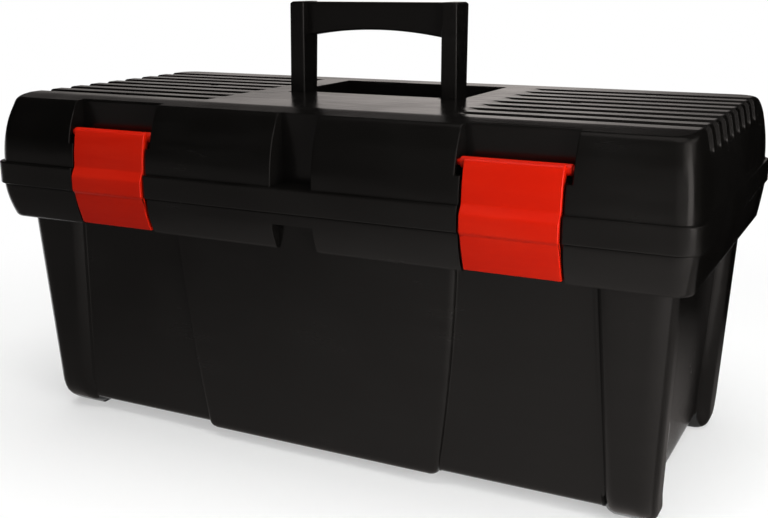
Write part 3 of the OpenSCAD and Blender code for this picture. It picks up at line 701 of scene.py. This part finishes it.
# %% The tub's inner skin
LEDGE_Z, BLOCK_Y, NOTCH_IN = 162.6, -117.64, -119.4      # the ledge, the walls behind the hooks and the notch
tub_in_plain = [(194.0, 1.9), (193.85, 2.1), (193.5, 2.2), (190, 2.2), (186.05, 2.2), (180, 2.2), (172, 2.2)]
tub_in_plain = [(z, TIN_X - i, TIN_Y - i, 7.5) for z, i in tub_in_plain]
tub_in_plain += [(167, 253.25, 124.5, 8), (163.2, 253.3, 123.3, 8), (162.75, 253.0, 123.0, 8)]
tub_in_plain += [(LEDGE_Z, 252.5, 122.5, 8)]
tub_in_walls = [(("z", LEDGE_Z), -0.6), (("z", 162.45), -0.15), (("z", 162.0), 0)]
tub_in_walls += [(("z", z), 0) for z in (150, 125, 99, 73, 47, 33)]
tub_in_walls += [(("foot", i), 0) for i in range(len(column_h))]

def tub_inner(slot, k):
    side, v = slot[0], slot[1]
    if k >= len(tub_in_plain):
        level, out = tub_in_walls[k - len(tub_in_plain)]
        return wall_spot(slot, level, WALL, out)
    x, y, z = plain_spot(slot, tub_in_plain[k])
    if side == "front":
        if abs(v) < TONGUE_GAP and z > TONGUE_FOOT:
            z = TONGUE_FOOT
        elif z < JOINT and abs(abs(v) - LATCH_X) < CHANNEL + WALL:
            y = max(y, BLOCK_Y)
        elif z < JOINT and abs(v) < LOCK + WALL:
            y = max(y, NOTCH_IN)
    return x, y, z

# %% Columns and rows of the tub
# They crowd together where the wall turns round an edge. A step is a distance from such an edge.
column_steps = (-1.2, -0.7, -0.35, -0.1, -0.01, 0.01, 0.25, 0.7, 1.3, 2.1, 3.1, 4.3, 5.6, 7.2, 9)
panel_steps = (-6, -4.6, -3.4, -2.4, -1.6, -0.9, -0.4, -0.12, -0.01, 0.01, 0.15, 0.4, 0.8, 1.2)
end_steps = (-1.0, -0.5, -0.15, -0.01, 0.01, 0.25, 0.7, 1.3, 2.0, 3.2, 4.5, 6, 7.5, 9)
at_columns = [s * (COLUMN_U + d) for s in (-1, 1) for d in column_steps]
at_gap = both(-TONGUE_GAP, 0.01) + both(TONGUE_GAP, 0.01)
tub_cols = [c[0] for c in tub_columns] + at_columns + at_gap
tub_cols = spread(tub_cols + [s * (PANEL_U + d) for s in (-1, 1) for d in panel_steps], -LAST_U, LAST_U, 14)
tub_rows = spread([s * (END_V + d) for s in (-1, 1) for d in end_steps], -LAST_V, LAST_V, 14)
in_cols = at_columns + at_gap + [s * (PANEL_U + d) for s in (-1, 1) for d in panel_steps[::2]]
in_cols += both(-LOCK - WALL) + both(LOCK + WALL)
in_cols += [q for s in (-1, 1) for t in (-1, 1) for q in both(s * LATCH_X + t * (CHANNEL + WALL))]
in_cols = spread(in_cols, -LAST_U, LAST_U, 24)
print("tub columns", len(tub_cols), "outside and", len(in_cols), "inside, rows", len(tub_rows))

# %% The tub's shell
bm = bmesh.new()
weave(bm, tub_cols, tub_rows, len(tub_plain) + len(tub_wall_levels), tub_outer, under(0.0))
weave(bm, in_cols, tub_rows, len(tub_in_plain) + len(tub_in_walls), tub_inner, under(WALL))
close_rim(bm, "tub skin")

# %% The tub's hinge lugs
LUG_OFF, LUG_W = 17.0, 12.0    # from the knuckle's middle to the lug's, and along the pin
lug_web = [(HY - 5, 185), (HINGE_Y - 3.6, HINGE_Z + 1), (HINGE_Y - 3.6, HINGE_Z - 3),
           (HINGE_Y - 0.4, HINGE_Z - 4.9), (HY - 5, 171)]
for s in (-1, 1):
    for t in (-LUG_OFF, LUG_OFF):
        x0, x1 = s * HINGE_X + t - LUG_W / 2, s * HINGE_X + t + LUG_W / 2
        tube(bm, x0, x1, HINGE_Y, HINGE_Z, KNUCKLE_D, HINGE_PIN_D + 0.1)
        prism(bm, lug_web, x0 + 0.3, x1 - 0.3)
tub = new_piece("tub_moulding", bm, "tub", "black_pp", angle=40)
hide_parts("tub")

# %% [markdown]
# ## Slabs with rounded edges
# The latches and the handle's legs are slabs: an outline run through a width. Moulded edges are round, so
# the outline's corners are turned and its two ends run in over a quarter circle.

# %% Outlines and slabs
def turned(points, r, n):
    """The outline with every corner turned over a radius of about r."""
    out = []
    for i, p in enumerate(points):
        a, b = points[i - 1], points[(i + 1) % len(points)]
        la, lb = math.dist(p, a), math.dist(p, b)
        cut = min(r, la * 0.48, lb * 0.48)
        pa = [p[j] + (a[j] - p[j]) * cut / la for j in (0, 1)]
        pb = [p[j] + (b[j] - p[j]) * cut / lb for j in (0, 1)]
        for k in range(n + 1):
            t = k / n
            out.append(tuple(pa[j] * (1 - t) ** 2 + 2 * p[j] * t * (1 - t) + pb[j] * t * t for j in (0, 1)))
    return out

def run_in(points, d):
    """The outline drawn inwards by d along its own normals."""
    n = len(points)
    area = sum(points[i - 1][0] * points[i][1] - points[i][0] * points[i - 1][1] for i in range(n))
    sign, out = (1 if area > 0 else -1), []
    for i, p in enumerate(points):
        a, b = points[i - 1], points[(i + 1) % n]
        tx, ty = b[0] - a[0], b[1] - a[1]
        size = math.hypot(tx, ty)
        out.append((p[0] - sign * ty / size * d, p[1] + sign * tx / size * d))
    return out

def slab(bm, outline, low, high, ease, place, steps=5):
    """place(a, b, w) makes a point from the outline's two values and the width's one."""
    quarter = [math.radians(90 * i / steps) for i in range(steps + 1)]
    run = [(low + ease * (1 - math.cos(t)), ease * (1 - math.sin(t))) for t in quarter]
    run += [(low + high - w, d) for w, d in run[::-1]]
    capped(bm, [[bm.verts.new(metres(place(a, b, w))) for a, b in run_in(outline, d)] for w, d in run])

def across(a, b, w):
    return w, a, b

# %% [markdown]
# ## Latches
# Each latch is one red moulding. Its front follows the lid's bulge, steps out over the belt, steps back
# under it and ends in a hook below the collar. The barrel at the top carries two ears and two trunnions.

# %% The two latches
latch_front = [(-125.04, 231.4), (-127.54, 230.3), (-128.79, 226.9), (-129.9, 221.0), (-130.91, 215.45),
               (-131.5, 209.0), (-131.69, 204.5), (-135.2, 198.4), (-135.5, 196.5), (-135.5, 188.0),
               (-135.1, 186.7), (-133.4, 185.2), (-132.4, 180.0), (-131.0, 175.0), (-129.2, 169.5),
               (-126.9, 163.4), (-126.1, 162.0), (-125.34, 161.6)]
latch_rear = [(-120.74, 161.6), (-120.74, 165.6), (-123.19, 165.6), (-125.47, 172.0), (-129.31, 183.0),
              (-130.9, 185.5), (-130.9, 198.0), (-127.09, 204.5), (-126.31, 215.45), (-122.24, 224.8),
              (-120.84, 227.9)]
LATCH_W, EAR_W = 62.4, 3.7                     # width of the band, and of an ear beside it
BARREL_D, TRUNNION_D, TRUNNION_X = 7.0, 4.0, 39.5
band = turned(latch_front + latch_rear, 0.9, 3)      # from the top down the front, and up behind
for s, name in ((-1, "left"), (1, "right")):
    x = s * LATCH_X
    bm = bmesh.new()
    slab(bm, band, x - LATCH_W / 2, x + LATCH_W / 2, 0.8, across)
    tube(bm, x - LATCH_W / 2 - EAR_W, x + LATCH_W / 2 + EAR_W, PIVOT_Y, PIVOT_Z, BARREL_D, ease=0.8)
    tube(bm, x - TRUNNION_X, x + TRUNNION_X, PIVOT_Y, PIVOT_Z, TRUNNION_D, ease=0.4)
    latch = new_piece("latch_moulding_" + name, bm, "latch_" + name, "red_pp", angle=50)
    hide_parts("latch_" + name)

# %% [markdown]
# ## Handle
# Two legs and an arched grip, one moulding, with all edges round to suit a hand. The legs are round at
# the foot, where they turn on their pins.

# %% The handle
HANDLE_W, LEG_W, LEG_D = 136.0, 12.5, 19.0
HANDLE_Y, HANDLE_Z, HANDLE_TOP = -8.6, 242.4, 318.2       # the pins' line, and the top of the grip
GRIP_T, GRIP_H, ARCH = 13.5, 20.0, 5.0
BACK_LEAN, FRONT_LEAN = 4.0, 1.0          # how far the legs lean back at the top
half, inner = HANDLE_W / 2, HANDLE_W / 2 - LEG_W
bm = bmesh.new()
foot = [math.radians(a) for a in range(-180, 1, 9)]
leg = [(HANDLE_Y + LEG_D / 2 * math.cos(a), HANDLE_Z + LEG_D / 2 * math.sin(a)) for a in foot]
shank = [(HANDLE_Y + LEG_D / 2, HANDLE_Z + 6), (HANDLE_Y + LEG_D / 2 + BACK_LEAN, HANDLE_TOP),
         (HANDLE_Y - LEG_D / 2 + FRONT_LEAN, HANDLE_TOP), (HANDLE_Y - LEG_D / 2, HANDLE_Z + 6)]
leg += turned(shank, 1.6, 6)[6:-6]      # without the turns at its foot, which is round already

def leaning(s):
    """The right leg or its mirror image, whose outer side turns in at the top."""
    def place(a, b, w):
        return s * (w - max(b - HANDLE_TOP + 2.4, 0) * max((w - inner) / LEG_W, 0)), a, b
    return place

for s in (-1, 1):
    slab(bm, leg, inner, half, 1.3, leaning(s), 6)

def grip_ring(x):
    """The grip's section at x: a bar with round edges whose underside follows the arch."""
    t = x / inner
    low, high = HANDLE_TOP - GRIP_H - ARCH * t * t, HANDLE_TOP - 0.4
    y1 = HANDLE_Y + LEG_D / 2 + BACK_LEAN - 1.6
    y0 = y1 - GRIP_T
    return [(x, y, z) for y, z in turned([(y0, low), (y1, low), (y1, high), (y0, high)], 2.2, 6)]

capped(bm, [[bm.verts.new(metres(p)) for p in grip_ring(inner * 1.03 * i / 14)] for i in range(-14, 15)])
handle = new_piece("handle_moulding", bm, "handle", "black_pp", angle=45)
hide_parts("handle")

# %% [markdown]
# ## Lift-out tray
# Four cells at the front and four at the back, with a double wall between them that holds the grip.

# %% The tray
TRAY_X, TRAY_Y, TRAY_Z, TRAY_TOP = 247.5, 110.5, 162.9, 191.9
TRAY_T, MIDDLE = 2.0, 2.5      # walls, and half the double wall in the middle
cell_w = (2 * TRAY_X - TRAY_T) / 4

def box_ring(bm, x0, x1, y0, y1, z, r):
    """A level ring with round corners."""
    ring = []
    for q, (cx, cy) in enumerate(((x1 - r, y0 + r), (x1 - r, y1 - r), (x0 + r, y1 - r), (x0 + r, y0 + r))):
        for i in range(ARC + 1):
            a = math.radians(90 * (q - 1) + 90 * i / ARC)
            ring.append(bm.verts.new(metres((cx + r * math.cos(a), cy + r * math.sin(a), z))))
    return ring

def round_levels(z0, z1, foot, lip, sign):
    """Heights from a rounded foot to a rounded lip, each with how far the wall stands in there."""
    arc = [math.radians(a) for a in (0, 18, 36, 54, 72, 90)]
    low = [(z0 + foot * (1 - math.cos(a)), foot * (1 - math.sin(a))) for a in arc]
    high = [(z1 - lip * (1 - math.sin(a)), sign * lip * (1 - math.cos(a))) for a in arc]
    return low + [((z0 + z1) / 2, 0)] + high

bm = bmesh.new()
skin = [box_ring(bm, -TRAY_X + i, TRAY_X - i, -TRAY_Y + i, TRAY_Y - i, z, 9 - i)
        for z, i in round_levels(TRAY_Z, TRAY_TOP, 1.5, 0.5, 1)]
sleeve(bm, skin)
bm.faces.new(skin[0])
for c in range(4):
    x0, x1 = -TRAY_X + TRAY_T + c * cell_w, -TRAY_X + (c + 1) * cell_w
    for y0, y1 in ((-TRAY_Y + TRAY_T, -MIDDLE), (MIDDLE, TRAY_Y - TRAY_T)):
        cup = [box_ring(bm, x0 + i, x1 - i, y0 + i, y1 - i, z, 6 - min(i, 3))
               for z, i in round_levels(TRAY_Z + TRAY_T, TRAY_TOP, 3.0, 0.5, -1)]
        sleeve(bm, cup)
        bm.faces.new(cup[0])
close_rim(bm, "tray")
tray = new_piece("tray_moulding", bm, "tray", "black_pp", angle=45)
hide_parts("tray")

# %% [markdown]
# ## The tray's grip
# A plate with a window for the fingers, which stands in the tray's middle wall. A slab can't have a hole,
# so here the plate's edge and the window's edge are two sleeves, and the flat faces are filled in between.

# %% The tray's grip
GRIP_X, GRIP_TOP = 65.0, 201.9
PLATE_T, PLATE_EASE = 2.5, 1.2 # half thickness, and the rounding of its edges
plate = turned([(-GRIP_X, TRAY_Z + 2.02), (GRIP_X, TRAY_Z + 2.02), (GRIP_X, GRIP_TOP - 6),
                (GRIP_X - 6, GRIP_TOP), (6 - GRIP_X, GRIP_TOP), (-GRIP_X, GRIP_TOP - 6)], 2.5, 5)
window = turned([(-49, 171.9), (49, 171.9), (55, 177.9), (55, 187.9), (50, 192.9), (-50, 192.9),
                 (-55, 187.9), (-55, 177.9)], 2.5, 5)
bm = bmesh.new()
quarter = [math.radians(a) for a in (0, 22, 45, 67, 90)]
edge = [(-PLATE_T + PLATE_EASE * (1 - math.cos(t)), PLATE_EASE * (1 - math.sin(t))) for t in quarter]
edge += [(-y, d) for y, d in edge[::-1]]
loops = []
for line, sign in ((plate, 1), (window, -1)):
    rings = [[bm.verts.new(metres((x, y, z))) for x, z in run_in(line, sign * d)] for y, d in edge]
    sleeve(bm, rings)
    loops.append((rings[0], rings[-1]))
for end in (0, 1):
    edges = [bm.edges.get((pair[end][i - 1], pair[end][i])) for pair in loops for i in range(len(pair[end]))]
    bmesh.ops.triangle_fill(bm, edges=edges, use_beauty=True)
report_open(bm, "tray grip")
tray_grip = new_piece("tray_grip_plate", bm, "tray", "black_pp", angle=45)
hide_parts("tray_handle")

# %% [markdown]
# ## Materials
# A material is a small tree of nodes. One function turns a hex colour into the linear numbers that Blender
# wants, and one adds a node with its settings and links, so each finish reads as a short list of steps.

# %% Tools for materials
def linear(hex_colour):
    value = [int(hex_colour[i:i + 2], 16) / 255 for i in (1, 3, 5)]
    return [v / 12.92 if v <= 0.04045 else ((v + 0.055) / 1.055) ** 2.4 for v in value] + [1.0]

def add(tree, kind, settings=(), **inputs):
    """Adds a node. settings are its own properties, inputs its sockets: a value, or another node's output."""
    node = tree.nodes.new(kind)
    for key, value in dict(settings).items():
        setattr(node, key, value)
    for key, value in inputs.items():
        socket = node.inputs[int(key[3:]) if key.startswith("in_") else key.replace("_", " ")]
        if isinstance(value, bpy.types.NodeSocket):
            tree.links.new(value, socket)
        else:
            socket.default_value = value
    return node

def new_material(name, **values):
    material = bpy.data.materials.new(name)
    material.use_nodes = True
    tree = material.node_tree
    shader = tree.nodes["Principled BSDF"]
    for key, value in values.items():
        shader.inputs[key.replace("_", " ")].default_value = value
    return material, tree, shader

def per_metre(millimetres):
    """Scale of a noise whose grains are this wide."""
    return 1000 / millimetres

# %% [markdown]
# ## Moulded polypropylene
# Cases like this are injection moulded in polypropylene. The mould is polished and then lightly spark
# eroded, which leaves a fine leather-like grain and a soft gloss. Thick places sink a little as they cool,
# so wide faces are never quite flat, and handling leaves faint rubbed streaks that are duller or shinier.

# %% Black and red polypropylene
def moulded_polypropylene(name, colour, rubbed, gloss, ior, grain):
    material, tree, shader = new_material(name, IOR=ior, Roughness=gloss)
    place = add(tree, "ShaderNodeTexCoord").outputs["Object"]
    # Grain of the eroded mould. The real one is about 0.2 mm and is drawn at 0.7 mm, so that it can show.
    skin = add(tree, "ShaderNodeTexNoise", Vector=place, Scale=per_metre(0.7), Detail=1.0)
    # Sink marks and the slow flow of the plastic, 30 to 60 mm wide.
    dents = add(tree, "ShaderNodeTexNoise", Vector=place, Scale=per_metre(45), Detail=1.0)
    # Rubbed streaks: noise drawn out along the case.
    long = add(tree, "ShaderNodeMapping", Vector=place, Scale=(0.12, 1.0, 1.0))
    rub = add(tree, "ShaderNodeTexNoise", Vector=long.outputs["Vector"], Scale=per_metre(7), Detail=3.0,
              Roughness=0.65)
    cloud = add(tree, "ShaderNodeTexNoise", Vector=place, Scale=per_metre(60), Detail=1.0)
    worn = add(tree, "ShaderNodeMath", {"operation": "MULTIPLY"}, in_0=rub.outputs["Fac"],
               in_1=cloud.outputs["Fac"])
    amount = add(tree, "ShaderNodeMapRange", Value=worn.outputs["Value"], From_Min=0.18, From_Max=0.42)
    tint = add(tree, "ShaderNodeMix", {"data_type": "RGBA"}, in_0=amount.outputs["Result"],
               in_6=linear(colour), in_7=linear(rubbed))
    tree.links.new(tint.outputs[2], shader.inputs["Base Color"])
    dull = add(tree, "ShaderNodeMapRange", Value=worn.outputs["Value"], From_Min=0.15, From_Max=0.45,
               To_Min=gloss - 0.03, To_Max=gloss + 0.06)
    tree.links.new(dull.outputs["Result"], shader.inputs["Roughness"])
    wide = add(tree, "ShaderNodeBump", Height=dents.outputs["Fac"], Strength=0.10, Distance=0.004)
    fine = add(tree, "ShaderNodeBump", Height=skin.outputs["Fac"], Strength=grain, Distance=0.0002,
               Normal=wide.outputs["Normal"])
    tree.links.new(fine.outputs["Normal"], shader.inputs["Normal"])
    return material

# Polypropylene's index is 1.49. An eroded skin scatters part of what it mirrors, so a lower one is matched
# to each: a little lower for the glossy black, much lower for the red, which is eroded more and looks duller.
black_pp = moulded_polypropylene("black moulded polypropylene", "#0a0908", "#0f0e0d", 0.22, 1.47, 0.06)
red_pp = moulded_polypropylene("red moulded polypropylene", "#c41803", "#ca1f08", 0.34, 1.24, 0.05)
print("black and red are ready")

# %% [markdown]
# ## Zinc-plated steel
# The hinge pins and handle pins are drawn steel wire, cut and zinc plated. The plating is a bright, slightly
# bluish grey with a cloudy bloom, and the drawing leaves fine lines along the wire.

# %% Zinc-plated steel
steel, tree, shader = new_material("zinc-plated drawn steel", Metallic=1.0)
place = add(tree, "ShaderNodeTexCoord").outputs["Object"]
bloom = add(tree, "ShaderNodeTexNoise", Vector=place, Scale=per_metre(2.5), Detail=4.0)
shade = add(tree, "ShaderNodeMix", {"data_type": "RGBA"}, in_0=bloom.outputs["Fac"], in_6=linear("#b9bcc0"),
            in_7=linear("#d3d4d2"))
drawn = add(tree, "ShaderNodeMapping", Vector=place, Scale=(0.03, 1.0, 1.0))
lines = add(tree, "ShaderNodeTexNoise", Vector=drawn.outputs["Vector"], Scale=per_metre(0.3), Detail=3.0)
sheen = add(tree, "ShaderNodeMapRange", Value=bloom.outputs["Fac"], To_Min=0.22, To_Max=0.42)
ridges = add(tree, "ShaderNodeBump", Height=lines.outputs["Fac"], Strength=0.15, Distance=0.0002)
tree.links.new(shade.outputs[2], shader.inputs["Base Color"])
tree.links.new(sheen.outputs["Result"], shader.inputs["Roughness"])
tree.links.new(ridges.outputs["Normal"], shader.inputs["Normal"])

# %% Each piece gets its finish
finishes = {"black_pp": black_pp, "red_pp": red_pp, "steel": steel}
painted = 0
for thing in bpy.data.objects:
    if thing.type != "MESH":
        continue
    finish = finishes.get(thing.get("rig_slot", ""), steel if "pin" in thing.name else black_pp)
    if len(thing.material_slots) == 0:
        thing.data.materials.append(finish)
    for place_for in thing.material_slots:
        place_for.material = finish
    painted += 1
print("pieces with a finish", painted)

# %% [markdown]
# ## The studio
# Black plastic shows little of its own colour: what the eye reads is what it mirrors. So the room is set
# for the mirror: a white sweep behind, dark cards where the plastic should stay black, and one soft strip
# at the right front that draws the light line down the corners. The cards are seen by mirrored rays only.

# %% The floor
def lying(x0, x1, y0, y1, z):
    return [(x0, y0, z), (x1, y0, z), (x1, y1, z), (x0, y1, z)]

def plate_at(name, corners, material):
    mesh = bpy.data.meshes.new(name)
    mesh.from_pydata(corners, [], [(0, 1, 2, 3)])
    mesh.materials.append(material)
    plate = bpy.data.objects.new(name, mesh)
    bpy.context.scene.collection.objects.link(plate)
    return plate

# The floor keeps the case's shadow, a good half of it close by, and fades into the plain white of the world.
floor_paint, tree, shader = new_material("pale floor", Roughness=0.9, Specular_IOR_Level=0.1)
rays = add(tree, "ShaderNodeLightPath").outputs
seen = add(tree, "ShaderNodeMath", {"operation": "ADD"}, in_0=rays["Is Camera Ray"], in_1=rays["Is Glossy Ray"])
seen = add(tree, "ShaderNodeMath", {"operation": "ADD", "use_clamp": True}, in_0=seen.outputs[0],
           in_1=rays["Is Transmission Ray"])
spot = add(tree, "ShaderNodeTexCoord").outputs["Object"]
away = add(tree, "ShaderNodeVectorMath", {"operation": "LENGTH"}, in_0=spot)
fade = add(tree, "ShaderNodeMapRange", {"interpolation_type": "SMOOTHSTEP"}, Value=away.outputs["Value"],
           From_Min=0.30, From_Max=0.75, To_Min=0.42)
blank = add(tree, "ShaderNodeMath", {"operation": "MULTIPLY"}, in_0=fade.outputs["Result"],
            in_1=seen.outputs[0])
white_out = add(tree, "ShaderNodeEmission", Strength=1.0)
# To the case it is a grey table, or its glow would drown the light from the side.
paint = add(tree, "ShaderNodeMix", {"data_type": "RGBA"}, in_0=seen.outputs[0], in_6=linear("#8e8e8c"),
            in_7=linear("#fafaf9"))
tree.links.new(paint.outputs[2], shader.inputs["Base Color"])
surface = add(tree, "ShaderNodeMixShader", in_0=blank.outputs[0], in_1=shader.outputs["BSDF"],
              in_2=white_out.outputs[0])
tree.links.new(surface.outputs[0], tree.nodes["Material Output"].inputs["Surface"])
plate_at("floor", lying(-6, 6, -6, 6, 0), floor_paint)
print("floor laid")

# %% Cards for the mirror
WARM = linear("#fff6f1")      # what the plastic mirrors is a touch warmer than the white of the lamps

def mirror_card(name, corners, strengths, along="X", span=(0.0, 1.0)):
    """A glowing card that only mirrored rays see. Its strength runs from one value to another along an axis."""
    card = bpy.data.materials.new(name)
    card.use_nodes = True
    tree = card.node_tree
    tree.nodes.clear()
    spot = add(tree, "ShaderNodeSeparateXYZ", Vector=add(tree, "ShaderNodeTexCoord").outputs["Object"])
    run = add(tree, "ShaderNodeMapRange", Value=spot.outputs[along], From_Min=span[0], From_Max=span[1],
              To_Min=strengths[0], To_Max=strengths[1])
    glow = add(tree, "ShaderNodeEmission", Color=WARM, Strength=run.outputs["Result"])
    add(tree, "ShaderNodeOutputMaterial", Surface=glow.outputs["Emission"])
    plate = plate_at(name, corners, card)
    plate.visible_camera = plate.visible_diffuse = False
    plate.visible_shadow = plate.visible_transmission = False
    print(name, "glows from", strengths[0], "to", strengths[1])

FAR = 40                      # metres, as good as endless
mirror_card("grey card in front", lying(-FAR, FAR, -0.6, -0.1, 0.002), (0.13, 0.66), "X", (-0.35, 0.60))
mirror_card("darker card further out", lying(-FAR, FAR, -FAR, -0.6, 0.003), (0.125, 0.34), "X", (-0.8, 0.5))
mirror_card("dark card at the right", lying(0.235, FAR, -0.1, FAR, 0.002), (0.19, 0.0), "Y", (0.05, 0.35))
mirror_card("light strip at the right",
            [(1.22, -0.76, 0.0), (1.52, -0.24, 0.0), (1.52, -0.24, 1.2), (1.22, -0.76, 1.2)], (1.65, 1.65))

# %% [markdown]
# ## The world
# The camera sees plain white, and the case is lit softly from all round. Mirrored rays see a room instead.
# It is drawn by direction: each of its lit parts is a product of ramps along X, Y and Z.

# %% The world
world = bpy.data.worlds.new("studio")
bpy.context.scene.world = world
world.use_nodes = True
tree = world.node_tree
tree.nodes.clear()
rays = add(tree, "ShaderNodeLightPath").outputs
aim = add(tree, "ShaderNodeTexCoord").outputs["Generated"]
looking = add(tree, "ShaderNodeSeparateXYZ", Vector=aim).outputs

# A ramp is an axis, where it starts and ends along it, and its strength at the two ends.
SOFT_RAMP, EVEN_RAMP = "SMOOTHSTEP", "LINEAR"
sweep_behind = [("Y", 0.25, 0.6, 0.0, 1.0, SOFT_RAMP), ("X", -0.12, 0.02, 1.0, 0.0, SOFT_RAMP),
                ("X", -0.38, -0.12, 1.0, 0.3, SOFT_RAMP), ("X", -0.8, -0.36, 0.12, 0.86, EVEN_RAMP),
                ("Z", 0.20, 0.32, 1.0, 0.0, SOFT_RAMP)]
room_in_front = [("Y", -0.2, 0.1, 1.0, 0.0, SOFT_RAMP), ("X", -0.6, 0.1, 0.0, 0.34, EVEN_RAMP),
                 ("Z", 0.25, 0.7, 1.0, 0.25, SOFT_RAMP)]
# Two dim panels, one high at the right and one overhead, draw the back and the top for the other views.
side_panel = [("X", 0.35, 0.6, 0.0, 1.0, SOFT_RAMP), ("Y", 0.3, 0.6, 1.0, 0.5, SOFT_RAMP),
              ("Z", 0.3, 0.6, 0.0, 0.5, SOFT_RAMP)]
overhead = [("Z", 0.87, 0.97, 0.0, 0.36, SOFT_RAMP)]
mirror = 0.0
for part in (sweep_behind, room_in_front, side_panel, overhead):
    glow = 1.0
    for axis, low, high, start, end, kind in part:
        ramp = add(tree, "ShaderNodeMapRange", {"interpolation_type": kind}, Value=looking[axis],
                   From_Min=low, From_Max=high, To_Min=start, To_Max=end)
        glow = add(tree, "ShaderNodeMath", {"operation": "MULTIPLY"}, in_0=glow,
                   in_1=ramp.outputs["Result"]).outputs[0]
    mirror = add(tree, "ShaderNodeMath", {"operation": "ADD"}, in_0=mirror, in_1=glow).outputs[0]
by_ray = add(tree, "ShaderNodeMix", {"data_type": "FLOAT"}, in_0=rays["Is Glossy Ray"], in_2=0.22,
             in_3=mirror).outputs[0]
plain = add(tree, "ShaderNodeMath", {"operation": "ADD", "use_clamp": True}, in_0=rays["Is Camera Ray"],
            in_1=rays["Is Transmission Ray"]).outputs[0]
strength = add(tree, "ShaderNodeMix", {"data_type": "FLOAT"}, in_0=plain, in_2=by_ray, in_3=1.0).outputs[0]
colour = add(tree, "ShaderNodeMix", {"data_type": "RGBA"}, in_0=rays["Is Glossy Ray"],
             in_6=linear("#ffffff"), in_7=WARM)
backdrop = add(tree, "ShaderNodeBackground", Color=colour.outputs[2], Strength=strength)
add(tree, "ShaderNodeOutputWorld", Surface=backdrop.outputs["Background"])
print("studio ready")

# %% [markdown]
# ## Lamps
# One large soft lamp overhead and a small one low at the right front give the plain light. The plastic
# doesn't mirror them, because the cards and the room already say what it mirrors.

# %% Lamps
def softbox(name, place, size, energy):
    lamp = bpy.data.lights.new(name, "AREA")
    lamp.shape, lamp.size, lamp.size_y, lamp.energy = "RECTANGLE", size[0], size[1], energy
    box = bpy.data.objects.new(name, lamp)
    bpy.context.scene.collection.objects.link(box)
    box.location = place
    box.rotation_euler = (Vector((0, 0, 0.12)) - Vector(place)).to_track_quat("-Z", "Y").to_euler()
    box.visible_camera, box.visible_glossy = False, False
    print(name, energy, "W")

softbox("big softbox above", (0.0, -0.2, 3.0), (3.2, 3.2), 88)
softbox("softbox at the right front", (0.75, -0.45, 0.22), (0.4, 0.5), 7.6)

# %% [markdown]
# ## Camera
# A long lens a little above the lid, off to the right, so that the front, the top and one end all show.

# %% Camera
lens = bpy.data.cameras.new("camera")
camera = bpy.data.objects.new("camera", lens)
bpy.context.scene.collection.objects.link(camera)
TURN, DOWN, TILT = 0.4732, 0.259361, -0.005878      # radians: aim to the left, aim down, roll
ahead = Vector((-math.sin(TURN) * math.cos(DOWN), math.cos(TURN) * math.cos(DOWN), -math.sin(DOWN)))
right = Vector((math.cos(TURN), math.sin(TURN), 0))
up = right.cross(ahead)
right, up = right * math.cos(TILT) + up * math.sin(TILT), up * math.cos(TILT) - right * math.sin(TILT)
turn = Matrix((right, up, -ahead)).transposed().to_4x4()
camera.matrix_world = Matrix.Translation((0.36497, -0.71499, 0.33655)) @ turn
lens.lens, lens.sensor_width = 1070.2 / 768 * 36, 36      # a focal length of 1070.2 px in a picture 768 px wide
bpy.context.scene.camera = camera
bpy.context.scene.view_settings.view_transform = "Standard"
print("lens", round(lens.lens, 1), "mm, from", tuple(round(v, 3) for v in camera.location))
